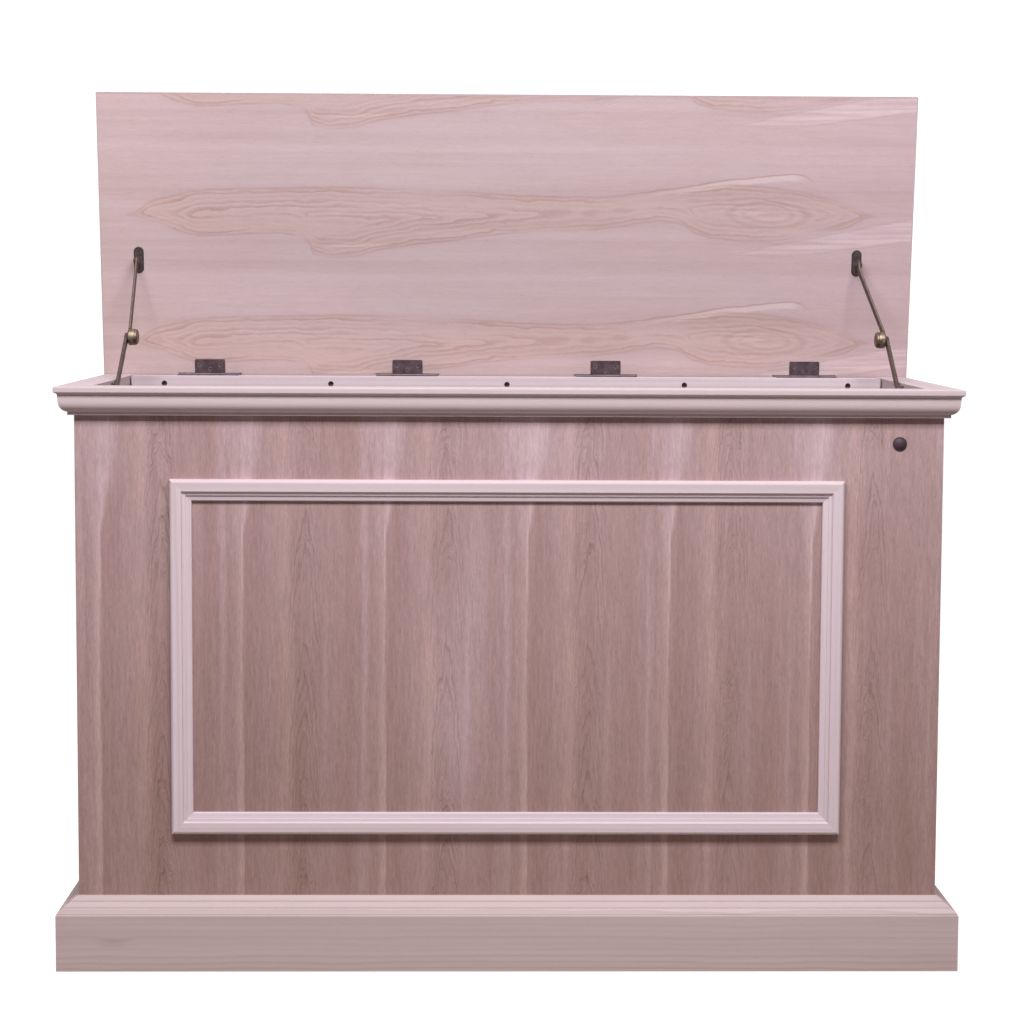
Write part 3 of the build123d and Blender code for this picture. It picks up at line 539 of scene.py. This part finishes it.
def run_of(wood, along, points):
    """How far across its leaf a smooth line through (along, across) points lies, at each place along."""
    start, length = points[0][0], points[-1][0] - points[0][0]
    curve = wood.node("ShaderNodeFloatCurve")
    line = curve.mapping.curves[0]
    for index, (place, value) in enumerate(points):
        spot = ((place - start) / length, value / LEAF_WIDTH)
        if index in (0, len(points) - 1):
            line.points[0 if index == 0 else -1].location = spot
        else:
            line.points.new(*spot)
    curve.mapping.update()
    wood.feed(curve.inputs["Value"], wood.over(wood.minus(along, start), length))
    return wood.times(curve.outputs[0], LEAF_WIDTH)


LID_SEAM = 0.1265  # a seam of the lid's veneer, in front of the hinge pin


def lid_veneer(name):
    """Leaves along the lid, each with one long lens of nested lines that ends in an eye near the right.

    Between its rear and front edge, a line of the figure lies at each whole number of steps in from the
    nearer edge, so the lines close round the eye, where the figure is widest.
    """
    wood = Board(name, "X", 3.0)
    flat_place = wood.node("ShaderNodeVectorRotate", wood.node("ShaderNodeTexCoord").outputs["Object"])
    flat_place.rotation_type = "X_AXIS"
    flat_place.inputs["Center"].default_value = (0.0, HINGE_Y, HINGE_Z)
    flat_place.inputs["Angle"].default_value = OPEN_ANGLE
    flat = wood.node("ShaderNodeSeparateXYZ", flat_place.outputs[0]).outputs
    along = flat[0]
    reach = wood.minus(HINGE_Y, flat[1])
    run = wood.over(wood.minus(reach, LID_SEAM), LEAF_WIDTH)
    leaf = wood.math("FLOOR", run)
    across = wood.times(wood.math("FRACT", run), LEAF_WIDTH)
    seed = wood.plus(wood.times(leaf, 0.05), 3.0)
    wood.along, wood.across, wood.depth = along, across, flat[2]

    def wobble(coarse, fine, offset, size):
        """Noise about 0 with its own scales along and across the grain, times a size."""
        place = wood.combine(wood.times(along, coarse), wood.times(across, fine), wood.plus(seed, offset))
        return wood.times(wood.minus(wood.noise(place, 3.0), 0.5), size)

    moved = wood.plus(across, wood.plus(wobble(8.0, 14.0, 1.0, 0.010), wobble(40.0, 90.0, 2.0, 0.004)))
    top = run_of(wood, along, FIGURE_TOP)
    bottom = run_of(wood, along, FIGURE_BOTTOM)
    half = wood.times(wood.minus(top, bottom), 0.5)
    middle = wood.times(wood.plus(top, bottom), 0.5)
    off = wood.minus(moved, middle)
    blunt = wood.math("SQRT", wood.plus(wood.times(off, off), 0.00001))
    inward = wood.minus(half, blunt)
    squiggle = wobble(24.0, 60.0, 4.0, 0.013)
    ring = wood.over(wood.plus(inward, squiggle), 0.0075)
    part = wood.math("FRACT", ring)
    weight = wood.step(wood.dice(wood.plus(wood.math("FLOOR", ring), seed)), 0.0, 1.0, 0.35, 1.0)
    inside = wood.step(inward, -0.0015, 0.003)
    fading = wood.step(wobble(5.0, 30.0, 8.0, 1.0), -0.2, 0.12)
    nested = wood.times(wood.band(part, (0.15, 0.85), (0.9, 1.0)), weight, wood.times(inside, fading))
    rim = wood.step(wood.math("ABSOLUTE", inward), 0.0004, 0.0030, 1.0, 0.0)
    halo = wood.band(inward, (-0.014, -0.001), (-0.0005, 0.001))
    lines = wood.plus(wood.times(nested, 0.85), wood.times(rim, fading, 0.5))
    lines = wood.plus(lines, wood.times(halo, 0.12))
    outer = wood.rings(heart=0.6, slope=0.0, wander=0.10, spacing=0.016, seed=seed)
    lines = wood.plus(lines, wood.times(outer["Lines"], wood.minus(1.0, inside), 0.16))

    ridge_off = wood.minus(moved, run_of(wood, along, RIDGE))
    ridge_run = wood.band(along, (0.10, 0.25), (0.462, 0.482))
    ridge = wood.times(wood.step(wood.math("ABSOLUTE", ridge_off), 0.0004, 0.0017, 1.0, 0.0), ridge_run)
    lines = wood.plus(lines, wood.times(ridge, 0.7))

    wedge_off = wood.math("ABSOLUTE", wood.minus(moved, run_of(wood, along, WEDGE)))
    wedge = wood.minus(run_of(wood, along, WEDGE_HALF), wedge_off)
    streaky = wood.step(wobble(6.0, 170.0, 15.0, 1.0), -0.14, 0.10)
    pale = wood.times(wood.step(wedge, -0.002, 0.005), streaky, 0.5)
    wedge_rim = wood.step(wood.math("ABSOLUTE", wedge), 0.0002, 0.0018, 1.0, 0.0)
    lines = wood.plus(lines, wood.times(wedge_rim, wood.step(along, 0.28, 0.42), 0.25))
    strip = wood.band(ridge_off, (-0.0125, -0.007), (-0.003, -0.001))
    strip = wood.times(strip, wood.band(along, (0.16, 0.3), (0.44, 0.475)), 0.5)
    eye_space = soft_spot(wood, along, moved, (0.408, 0.130), (0.066, 0.021))
    eye_wave = wood.plus(wood.times(eye_space, 3.4), wobble(30.0, 80.0, 19.0, 0.55))
    eye_part = wood.math("FRACT", eye_wave)
    eye_ring = wood.times(wood.band(eye_part, (0.0, 0.45), (0.5, 0.95)), wood.step(eye_space, 0.15, 0.32))
    lines = wood.plus(lines, wood.times(eye_ring, 0.38))
    heart = wood.times(soft_spot(wood, along, across, (0.405, 0.130), (0.05, 0.014)), 0.3)
    pale = wood.plus(pale, wood.plus(strip, heart))
    lines = wood.times(lines, wood.minus(1.0, wood.times(pale, 0.5)))

    shade = wood.times(inside, wood.minus(0.75, wood.times(strip, 1.2)))
    left_end = wood.step(along, -0.64, -0.35, 0.8, 0.0)
    # Painted light: low_end lifts the open lid's lower end, next to the hinge, where the lamps leave it
    # darker, and makes it a little yellower.
    low_end = wood.step(reach, 0.02, 0.2, 0.5, 0.0)
    right_end = wood.step(along, 0.3, 0.62, 0.0, 0.8)
    cloud = wood.step(wobble(3.0, 9.0, 12.0, 1.0), -0.12, 0.14)
    glow = soft_spot(wood, along, reach, (-0.40, 0.11), (0.20, 0.06))
    tints = (
        (shade, (0.985, 0.935, 0.87)),
        (left_end, (1.09, 1.055, 1.02)),
        (low_end, (1.10, 1.11, 1.05)),
        (right_end, (1.01, 0.965, 1.0)),
        (cloud, (0.99, 0.97, 0.955)),
        (glow, (1.09, 1.09, 1.11)),
    )
    return wood.finish(
        "lid", lines, pale, line_strength=0.55, fibre_strength=0.34, streak=outer["Tone"],
        seed=seed, tints=tints,
    )


PLAIN_LINES, PLINTH_LINES = 0.35, 0.40  # how strongly growth lines show on bare poplar and softwood
PLAIN_FIBRE = 0.14  # and how strongly the fibres do
PLAIN_SPACING = 0.009  # between growth lines


def plain_board(name, grain, palette, seed, wander=0.05, spacing=PLAIN_SPACING, across=None):
    """A straight-grained board whose growth lines run nearly level and wander a little."""
    wood = Board(name, grain, seed)
    if across is not None:
        wood.across = wood.place[across]
    rings = wood.rings(heart=0.5, slope=0.02, wander=wander, spacing=spacing)
    return wood.finish(palette, rings["Lines"], 0.0, PLAIN_LINES, PLAIN_FIBRE, rings["Tone"])


KNOT_PLACE, KNOT_REACH = (-0.5586, 0.0417), (0.055, 0.016)  # along the base and up it


def plinth_board(name, grain, seed):
    """The base's broad face: long level figure that parts round a small soft knot."""
    wood = Board(name, grain, seed)
    knot = soft_spot(wood, wood.along, wood.across, KNOT_PLACE, KNOT_REACH)
    heart_reach = [reach / 3 for reach in KNOT_REACH]
    heart = soft_spot(wood, wood.along, wood.across, KNOT_PLACE, heart_reach)
    hill = wood.times(knot, 0.09)
    rings = wood.rings(heart=0.2, slope=0.05, wander=0.16, spacing=PLAIN_SPACING, hill=hill)
    lines = wood.plus(rings["Lines"], wood.times(heart, 0.8))
    return wood.finish("plinth", lines, 0.0, PLINTH_LINES, PLAIN_FIBRE, rings["Tone"])


# ---- metals and the eye ---------------------------------------------------------------------------------
def metal(name, dark, light, roughness, scale, metallic, worn=None):
    """Patinated metal: two tones in soft blotches, fine scratches, and a third tone on rubbed edges."""
    made = bpy.data.materials.new(name)
    made.use_nodes = True
    made.node_tree.nodes.clear()
    tree = Tree(made.node_tree)
    place = tree.node("ShaderNodeTexCoord").outputs["Object"]
    blotch = tree.noise(tree.scale(place, (scale, scale, scale)), 4.0, 0.6)
    scratch = tree.noise(tree.scale(place, (2600.0, 900.0, 240.0)), 2.0)
    tone = tree.mix(tree.step(blotch, 0.35, 0.65), rgba(dark), rgba(light))
    if worn is not None:
        mark = tree.node("ShaderNodeAttribute", attribute_name="rubbed").outputs["Fac"]
        tone = tree.mix(tree.times(mark, tree.step(blotch, 0.25, 0.6)), tone, rgba(worn))
    surface = tree.node("ShaderNodeBsdfPrincipled")
    tree.feed(surface.inputs["Base Color"], tone)
    uneven = tree.step(tree.plus(blotch, scratch), 0.7, 1.3, roughness, roughness + 0.16)
    tree.feed(surface.inputs["Roughness"], uneven)
    surface.inputs["Metallic"].default_value = metallic
    bump = tree.node("ShaderNodeBump")
    bump.inputs["Strength"].default_value = 0.15
    bump.inputs["Distance"].default_value = 0.0001
    tree.feed(bump.inputs["Height"], scratch)
    tree.feed(surface.inputs["Normal"], bump.outputs[0])
    tree.node("ShaderNodeOutputMaterial", surface.outputs[0])
    return made


GUNMETAL = metal(
    "hinge_gunmetal_satin", dark=(0.115, 0.083, 0.098), light=(0.17, 0.13, 0.15), roughness=0.38,
    scale=90.0, metallic=0.7, worn=(0.5, 0.42, 0.46),
)
DARK_STEEL = metal(
    "dark_steel_screw", dark=(0.075, 0.05, 0.055), light=(0.13, 0.09, 0.095), roughness=0.34,
    scale=300.0, metallic=0.7, worn=(0.3, 0.25, 0.27),
)
BRONZE = metal(
    "rubbed_bronze", dark=(0.085, 0.052, 0.048), light=(0.13, 0.085, 0.075), roughness=0.42,
    scale=140.0, metallic=0.4, worn=(0.15, 0.112, 0.088),
)
PLATE_BRONZE = metal(
    "plate_bronze", dark=(0.085, 0.058, 0.062), light=(0.13, 0.095, 0.098), roughness=0.42,
    scale=160.0, metallic=0.5, worn=(0.06, 0.04, 0.04),
)
BRASS = metal(
    "antique_brass", dark=(0.15, 0.105, 0.08), light=(0.27, 0.205, 0.155), roughness=0.44,
    scale=160.0, metallic=0.85, worn=(0.36, 0.29, 0.22),
)
EYE_LENS = metal(
    "eye_lens_dark", dark=(0.045, 0.021, 0.033), light=(0.062, 0.029, 0.048), roughness=0.55,
    scale=400.0, metallic=0.0,
)


# ---- turned and swept fittings: every grid point is (x, y, z, how rubbed) -------------------------------
MM = 0.001
SHARP_ANGLE = math.radians(38.0)  # faces that meet at more than this keep a hard edge
SCREW_TURNS = 48  # steps round a screw
ARM_FLAT = 14.0 * MM  # how far an arm runs straight on from each eye before it leans sideways
BLUNT = 0.25  # how square an arm's section is: 1 is an ellipse, 0 a box


def grid_faces(rows, columns, first):
    """Four-sided faces between neighbouring rows and columns of points, numbered from the first point."""
    corner = np.arange(rows - 1)[:, None] * columns + np.arange(columns - 1) + first
    return np.stack([corner, corner + 1, corner + columns + 1, corner + columns], axis=-1).reshape(-1, 4)


def solid(name, grids, material, body, slot, *nodes):
    """One piece from closed grids: seams and poles are merged, and every face is turned outwards."""
    sizes = [grid.shape[0] * grid.shape[1] for grid in grids]
    firsts = np.concatenate([[0], np.cumsum(sizes)])
    points = np.concatenate([grid.reshape(-1, 4) for grid in grids])
    faces = np.concatenate([grid_faces(*grid.shape[:2], first) for grid, first in zip(grids, firsts)])
    mesh = bpy.data.meshes.new(name)
    mesh.from_pydata(points[:, :3].tolist(), [], faces.tolist())
    mesh.attributes.new("rubbed", "FLOAT", "POINT").data.foreach_set("value", points[:, 3])
    form = bmesh.new()
    form.from_mesh(mesh)
    bmesh.ops.remove_doubles(form, verts=form.verts, dist=0.001 * MM)
    bmesh.ops.recalc_face_normals(form, faces=form.faces)
    form.to_mesh(mesh)
    form.free()
    mesh.shade_smooth()
    mesh.set_sharp_from_angle(angle=SHARP_ANGLE)
    mesh.materials.append(material)
    piece = bpy.data.objects.new(name, mesh)
    bpy.context.scene.collection.objects.link(piece)
    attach(piece, body)
    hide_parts(*nodes)
    return piece


def moved(grid, matrix):
    """A grid's points under a 4 by 4 matrix, with their wear kept."""
    turn = np.array(matrix)
    placed = grid.copy()
    placed[..., :3] = grid[..., :3] @ turn[:3, :3].T + turn[:3, 3]
    return placed


def lathe(profile, turns=56):
    """A profile of (along, radius, rubbed) in millimetres, turned about the local Z axis."""
    along, radius, rubbed = np.array(profile, float).T
    angle = np.linspace(0.0, 2.0 * math.pi, turns + 1)
    shape = (len(along), turns + 1)
    parts = (
        np.outer(radius, np.cos(angle)) * MM,
        np.outer(radius, np.sin(angle)) * MM,
        np.broadcast_to(along[:, None] * MM, shape),
        np.broadcast_to(rubbed[:, None], shape),
    )
    return np.stack(parts, axis=-1)


def screw(radius, shank, length, recess, dome):
    """A countersunk screw along -Z: a faintly domed head whose cross recess is a smooth dip.

    The recess is where the nearer of |x| and |y| is small and the farther one is short of its arm's end.
    """
    reach = np.concatenate([np.linspace(0.0, 0.78, 13), [0.88, 0.95, 1.0]]) * radius
    angle = np.linspace(0.0, 2.0 * math.pi, SCREW_TURNS + 1)
    x, y = np.outer(reach, np.cos(angle)), np.outer(reach, np.sin(angle))
    near = np.minimum(np.abs(x), np.abs(y))
    far = np.maximum(np.abs(x), np.abs(y))
    half, arm = 0.13 * radius, 0.62 * radius
    in_slot = np.clip((1.7 * half - near) / half, 0.0, 1.0)
    dip = in_slot * np.clip((arm * 1.15 - far) / (0.3 * arm), 0.0, 1.0)
    height = dome * (1.0 - (reach / radius) ** 2)[:, None] - recess * dip
    ring = np.broadcast_to(np.clip((reach / radius - 0.8) / 0.15, 0.0, 1.0)[:, None], x.shape)
    head = np.stack([x * MM, y * MM, height * MM, ring], axis=-1)
    rim = ((0.0, radius, 1), (-0.3, radius, 0))
    below = (*rim, (-1.5, shank, 0), (3 - length, shank, 0), (-length, 0, 0))
    return np.concatenate([head, lathe(below, SCREW_TURNS)])


def bar(start, end, sides, thickness, width, first=None):
    """A rounded bar between two eyes at (y, z); its x goes from the first of its sides to the second.

    Its section is a superellipse: the cosine and sine of the angle, each to the power BLUNT. Its half
    width is the eye's radius, and each end follows its round eye, or the near end is cut off at first.
    """
    radius = width / 2
    start, end = np.array(start), np.array(end)
    length = np.linalg.norm(end - start)
    ahead = (end - start) / length
    beside = np.array([-ahead[1], ahead[0]])
    low = -radius if first is None else first
    swing = radius * np.cos(np.linspace(0.0, math.pi / 2, 12))
    near_end = -swing if first is None else np.array([low])
    between = np.linspace(max(low, 0.0), length, 40)[1:-1]
    station = np.concatenate([near_end, between, length + swing[::-1]])
    past = np.maximum(np.maximum(-station, station - length), 0.0)
    half = np.sqrt(np.maximum(radius**2 - past**2, 0.0))
    share = np.clip((station - ARM_FLAT) / (length - 2 * ARM_FLAT), 0.0, 1.0)
    middle = sides[0] + (sides[1] - sides[0]) * share
    angle = np.linspace(0.0, 2.0 * math.pi, 41)
    wide = np.sign(np.cos(angle)) * np.abs(np.cos(angle)) ** BLUNT
    deep = np.sign(np.sin(angle)) * np.abs(np.sin(angle)) ** BLUNT
    out = np.outer(half, wide)
    x = middle[:, None] + np.broadcast_to(deep * thickness / 2, out.shape)
    y = start[0] + station[:, None] * ahead[0] + out * beside[0]
    z = start[1] + station[:, None] * ahead[1] + out * beside[1]
    rubbed = np.broadcast_to(np.abs(np.cos(angle)) ** 3, out.shape)
    grid = np.stack([x, y, z, rubbed], axis=-1)
    if first is not None:
        cap = np.broadcast_to(grid[:1].mean(axis=1, keepdims=True), grid[:1].shape)
        grid = np.concatenate([cap, grid])
    return grid


def oblong(length, width, profile):
    """A plate with two round ends, long along Y, from a profile of (inset, height, rubbed) in mm."""
    inset, height, rubbed = np.array(profile, float).T
    arc = np.linspace(0.0, math.pi, 25)
    angle = np.concatenate([arc, arc + math.pi, [0.0]])
    end = (length - width) / 2
    shift = np.concatenate([np.full(25, end), np.full(25, -end), [end]])
    radius = (width / 2 - inset)[:, None]
    shape = (len(inset), len(angle))
    parts = (
        radius * np.cos(angle) * MM,
        (radius * np.sin(angle) + shift) * MM,
        np.broadcast_to(height[:, None] * MM, shape),
        np.broadcast_to(rubbed[:, None], shape),
    )
    return np.stack(parts, axis=-1)


LID_TURN = (
    Matrix.Translation((0.0, HINGE_Y, HINGE_Z))
    @ Matrix.Rotation(-OPEN_ANGLE, 4, "X")
    @ Matrix.Translation((0.0, -HINGE_Y, -HINGE_Z))
)
LEAF = 1.2 * MM  # thickness of a hinge leaf
CLOSED_GAP = 0.2 * MM
LID_FACE = HINGE_Z + LEAF / 2 + CLOSED_GAP  # the closed lid's inner face
HINGE_PLACES = (-0.4686, -0.1568, 0.157, 0.4727)
LID_LEAF_SCREWS = ((-16.5, 14.6), (16.5, 14.6), (0.0, 8.2))  # sideways and forward of the pin
FRAME_LEAF_SCREWS = ((-37.5, 10.5), (37.5, 10.5), (-37.5, 26.0), (37.5, 26.0))
RAIL_SCREWS = (-0.533, -0.2743, 0.0, 0.277, 0.533)
RAIL_SCREW_DROP = 0.0115
FACE_DOWN = Matrix.Rotation(math.pi, 4, "X")
FACE_FRONT = Matrix.Rotation(math.pi / 2, 4, "X")


def hinge_screws():
    """The cross-recessed screws of the hinges and of the rail."""
    small = screw(radius=2.9, shank=1.3, length=15.0, recess=0.75, dome=-0.1)
    in_lid = []
    in_frame = []
    for place in HINGE_PLACES:
        for x, forward in LID_LEAF_SCREWS:
            spot = Matrix.Translation((place + x * MM, HINGE_Y - forward * MM, LID_FACE - LEAF))
            in_lid.append(moved(small, LID_TURN @ spot @ FACE_DOWN))
        for x, forward in FRAME_LEAF_SCREWS:
            spot = Matrix.Translation((place + x * MM, HINGE_Y - forward * MM, HINGE_Z + LEAF / 2))
            in_frame.append(moved(small, spot))
    solid("lid_leaf_screws", in_lid, GUNMETAL, "lid", "dark_screw", "hinge_lid_screws")
    solid("frame_leaf_screws", in_frame, GUNMETAL, "chest", "dark_screw", "hinge_frame_screws")
    front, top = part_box("hinge_rail")[0][1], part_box("hinge_rail")[1][2]
    large = screw(radius=4.4, shank=2.0, length=50.0, recess=1.6, dome=-0.5)
    spots = [Matrix.Translation((x, front, top - RAIL_SCREW_DROP)) @ FACE_FRONT for x in RAIL_SCREWS]
    rail = [moved(large, spot) for spot in spots]
    solid("rail_screws", rail, DARK_STEEL, "chest", "dark_screw", "hinge_rail_screws")


LOWER_THICK, UPPER_THICK, ARM_WIDTH = 4.5 * MM, 3.5 * MM, 12.5 * MM
PLATE_SIZE = (41.0, 15.3)
PLATE_PROFILE = (  # a soft rim round a faintly sunk face
    (7.65, 0.0, 0), (0.0, 0.0, 0), (0.0, 0.7, 1), (0.15, 1.15, 1), (0.5, 1.45, 1), (1.0, 1.6, 1),
    (1.7, 1.6, 0.6), (2.4, 1.42, 0), (4.0, 1.4, 0), (7.65, 1.4, 0),
)
EAR_PROFILE = (
    (7.0, -1.0, 0), (0.5, -1.0, 0), (0.1, -0.8, 1), (0.0, -0.4, 1), (0.0, 0.4, 1), (0.1, 0.8, 1),
    (0.5, 1.0, 0), (7.0, 1.0, 0),
)
EAR_WIDTH = 14.0
EAR_IN = 3.2 * MM  # the ear's middle, in from the plate's outboard edge
EAR_STOP = 0.3 * MM  # how far under the lid's face the ear ends, inside the plate
DRUM_REACH = 12.0 * MM  # the upper arm starts this far from the drum's axis, inside the drum
RIVET_IN = 3.6 * MM  # a lid rivet's outer head, out from the arm's face
PLATE_SCREWS = (-13.0, 13.0)  # along the plate, from its middle
PLATE_SCREW_DROP = 1.4 * MM
DRUM_PROFILE = (  # outboard end first: a chamfered rim, the bright barrel, a groove and a soft cap
    (0.0, 0.0, 0), (0.0, 9.2, 0), (0.15, 10.4, 0.4), (0.6, 11.7, 1), (1.3, 12.35, 1), (2.2, 12.55, 1),
    (3.4, 12.6, 0.8), (6.5, 12.6, 0.8), (9.4, 12.55, 1), (9.95, 12.3, 1), (10.15, 11.85, 0),
    (10.5, 11.7, 0), (10.85, 11.85, 0), (11.1, 12.2, 1), (12.0, 12.15, 0.4), (13.2, 11.7, 0.2),
    (14.3, 10.8, 0.2), (15.0, 9.6, 0.3), (15.4, 8.1, 0.5), (15.5, 6.8, 0.3), (15.2, 6.0, 0), (15.2, 0.0, 0),
)
LID_RIVET = (
    (0.0, 0.0, 1), (0.1, 1.2, 1), (0.3, 2.3, 1), (0.7, 3.4, 0.6), (1.1, 4.1, 0.3), (1.4, 4.5, 0),
    (1.4, 2.5, 0), (7.3, 2.5, 0), (7.3, 4.5, 0), (7.6, 4.1, 0.3), (8.0, 3.4, 0.6), (8.4, 2.3, 1),
    (8.6, 1.2, 1), (8.7, 0.0, 1),
)
WALL_RIVET = (
    (0.0, 0.0, 0), (0.0, 2.5, 0), (6.8, 2.5, 0), (6.8, 4.5, 0), (7.1, 4.1, 0.3), (7.5, 3.4, 0.6),
    (7.9, 2.3, 1), (8.1, 1.2, 1), (8.2, 0.0, 1),
)
STUD = (
    (0.0, 0.0, 0), (0.0, 4.5, 0), (0.3, 4.1, 0.3), (0.7, 3.4, 1), (1.1, 2.3, 1), (1.3, 1.2, 1),
    (1.4, 0.0, 1),
)


def turned_at(profile, sign, x, place):
    """A turned piece whose profile starts at x and runs towards the side opposite to the sign."""
    turn = Matrix.Rotation(-sign * math.pi / 2, 4, "Y")
    return moved(lathe(profile), Matrix.Translation((x, *place)) @ turn)


def lid_stay(side, sign):
    """One folding stay: two rounded bars, a turned friction drum, riveted eyes and an oblong lid plate."""
    stay = f"stay_{side}"
    lower_x, *wall_place = JOINTS[f"{stay}_wall_pivot"]["pos_m"]
    lid_x, *lid_place = JOINTS[f"{stay}_lid_pivot"]["pos_m"]
    drum_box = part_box(f"{stay}_drum")
    elbow = [(drum_box[0][i] + drum_box[1][i]) / 2 for i in (1, 2)]
    outer = 1 if sign > 0 else 0
    wall_face = sign * abs(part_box(f"{side}_side_panel")[1 - outer][0])
    elbow_x = drum_box[outer][0] - sign * UPPER_THICK / 2

    lower = bar(wall_place, elbow, (lower_x, lower_x), LOWER_THICK, ARM_WIDTH)
    stud = turned_at(STUD, -sign, lower_x + sign * LOWER_THICK / 2, elbow)
    solid(f"{stay}_lower_bar", [lower, stud], BRONZE, f"{stay}_lower", "stay_bronze", f"{stay}_lower_arm")
    upper = bar(elbow, lid_place, (elbow_x, lid_x), UPPER_THICK, ARM_WIDTH, first=DRUM_REACH)
    solid(f"{stay}_upper_bar", [upper], BRONZE, f"{stay}_upper", "stay_bronze", f"{stay}_upper_arm")
    drum = turned_at(DRUM_PROFILE, sign, drum_box[outer][0], elbow)
    solid(f"{stay}_turned_drum", [drum], BRASS, f"{stay}_upper", "drum_brass", f"{stay}_drum")

    flat_place = LID_TURN.inverted() @ Vector((lid_x, *lid_place))
    plate_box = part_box(f"{stay}_lid_plate")
    plate_x = (plate_box[0][0] + plate_box[1][0]) / 2
    plate = oblong(*PLATE_SIZE, PLATE_PROFILE)
    plate = moved(plate, LID_TURN @ Matrix.Translation((plate_x, flat_place.y, LID_FACE)) @ FACE_DOWN)
    ear_x = plate_box[outer][0] - sign * EAR_IN
    drop = (LID_FACE - flat_place.z) / MM
    ear = oblong(drop + EAR_WIDTH, EAR_WIDTH, EAR_PROFILE)
    upright = Matrix.Rotation(math.pi / 2, 4, "Z") @ Matrix.Rotation(math.pi / 2, 4, "X")
    ear = moved(ear, Matrix.Translation((ear_x, flat_place.y, (flat_place.z + LID_FACE) / 2)) @ upright)
    ear[..., 2] = np.minimum(ear[..., 2], LID_FACE - EAR_STOP)
    ear = moved(ear, LID_TURN)
    solid(f"{stay}_oblong_plate", [plate, ear], PLATE_BRONZE, "lid", "stay_bronze", f"{stay}_lid_plate")
    rivet = turned_at(LID_RIVET, sign, lid_x + sign * (UPPER_THICK / 2 + RIVET_IN), lid_place)
    wall_rivet = turned_at(WALL_RIVET, sign, wall_face, wall_place)
    plate_screw = screw(radius=3.0, shank=1.4, length=14.0, recess=0.9, dome=0.1)
    screws = []
    for offset in PLATE_SCREWS:
        spot = Matrix.Translation((plate_x, flat_place.y + offset * MM, LID_FACE - PLATE_SCREW_DROP))
        screws.append(moved(plate_screw, LID_TURN @ spot @ FACE_DOWN))
    return rivet, wall_rivet, screws


def lid_stays():
    """Both stays, and their rivets and plate screws, of which each kind is one piece for both sides."""
    rivets, wall_rivets, screws = zip(lid_stay("left", -1), lid_stay("right", 1))
    solid("stay_lid_domed_rivets", rivets, BRONZE, "lid", "stay_bronze", "stay_lid_rivets")
    solid("stay_wall_domed_rivets", wall_rivets, BRONZE, "chest", "stay_bronze", "stay_wall_rivets")
    solid("stay_plate_screws", screws[0] + screws[1], DARK_STEEL, "lid", "stay_bronze", "stay_lid_screws")


EYE_PROFILE = (  # barrel end, flange, bevelled rim, a fine groove, and the domed lens
    (-29.0, 0.0, 0), (-29.0, 5.5, 0), (0.0, 5.5, 0), (0.0, 10.0, 0), (0.7, 10.0, 0), (1.1, 9.75, 0),
    (1.35, 9.3, 0), (1.35, 8.9, 0), (1.1, 8.7, 0), (1.1, 8.5, 0), (1.5, 8.2, 0), (2.4, 7.0, 0),
    (3.3, 5.4, 0), (4.0, 3.7, 0), (4.45, 1.9, 0), (4.6, 0.0, 0),
)


def front_eye():
    """The round eye on the front: a bevelled rim round a shallow dome."""
    low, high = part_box("front_eye")
    place = ((low[0] + high[0]) / 2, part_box("front_panel")[0][1], (low[2] + high[2]) / 2)
    eye = moved(lathe(EYE_PROFILE), Matrix.Translation(place) @ FACE_FRONT)
    solid("front_eye_lens", [eye], EYE_LENS, "chest", "eye_lens", "front_eye")


def dress(material, *names):
    """Put a material on CAD nodes, in every slot."""
    for name in names:
        node = frame["nodes"][name]
        for slot in node.material_slots:
            slot.material = material


def dress_chest():
    """Every node of the chest gets its own wood or metal, with the grain along the piece."""
    dress(body_veneer("front_veneer", 0, 1.0, FRONT_SPOTS), "front_panel")
    dress(body_veneer("side_veneer_left", 1, 21.0), "left_side_panel")
    dress(body_veneer("side_veneer_right", 1, 33.0), "right_side_panel")
    dress(body_veneer("back_veneer", 0, 47.0), "back_panel")
    dress(lid_veneer("lid_figured_veneer"), "lid_panel")
    dress(plain_board("lid_lipping_long", "X", "lid", 51.0), "lid_edge_front", "lid_edge_back")
    dress(plain_board("lid_lipping_short", "Z", "lid", 53.0), "lid_edge_left", "lid_edge_right")
    dress(plain_board("crown_poplar_front", "X", "crown", 61.0), "crown_front")
    dress(plain_board("crown_poplar_side", "Y", "crown", 63.0), "crown_left", "crown_right")
    dress(plinth_board("plinth_poplar_front", "X", 71.0), "base_front")
    dress(plain_board("plinth_poplar_side", "Y", "plinth", 73.0, 0.12), "base_left", "base_right")
    level = plain_board("frame_poplar_level", "X", "pale", 81.0, 0.03)
    upright = plain_board("frame_poplar_upright", "Z", "pale", 83.0, 0.03)
    dress(level, "front_frame_top", "front_frame_bottom")
    dress(upright, "front_frame_left", "front_frame_right")
    dress(plain_board("rail_poplar_level", "X", "pale", 91.0, 0.06), "hinge_rail")
    dress(plain_board("floor_plywood_face", "X", "plywood", 95.0, 0.3, 0.02, across=1), "storage_floor")
    cleats = [f"floor_cleat_{side}" for side in ("front", "back", "left", "right")]
    dress(plain_board("cleat_softwood_plain", "X", "plywood", 97.0), *cleats[:2])
    dress(plain_board("cleat_softwood_short", "Y", "plywood", 98.0), *cleats[2:])
    posts = [f"{end}_{side}_corner_post" for end in ("front", "back") for side in ("left", "right")]
    dress(plain_board("post_softwood_upright", "Z", "plywood", 99.0), *posts)
    dress(GUNMETAL, *[f"hinge_{i}_{leaf}" for i in range(1, 5) for leaf in ("frame_leaf", "lid_leaf")])
    dress(GUNMETAL, "hinge_pins")
    dress(DARK_STEEL, "floor_cleat_screws", "front_eye_nut")
    dress(BRONZE, "stay_left_wall_plate", "stay_right_wall_plate", "stay_wall_screws")


dress_chest()
hinge_screws()
lid_stays()
front_eye()

bpy.context.scene.view_settings.view_transform = "Standard"
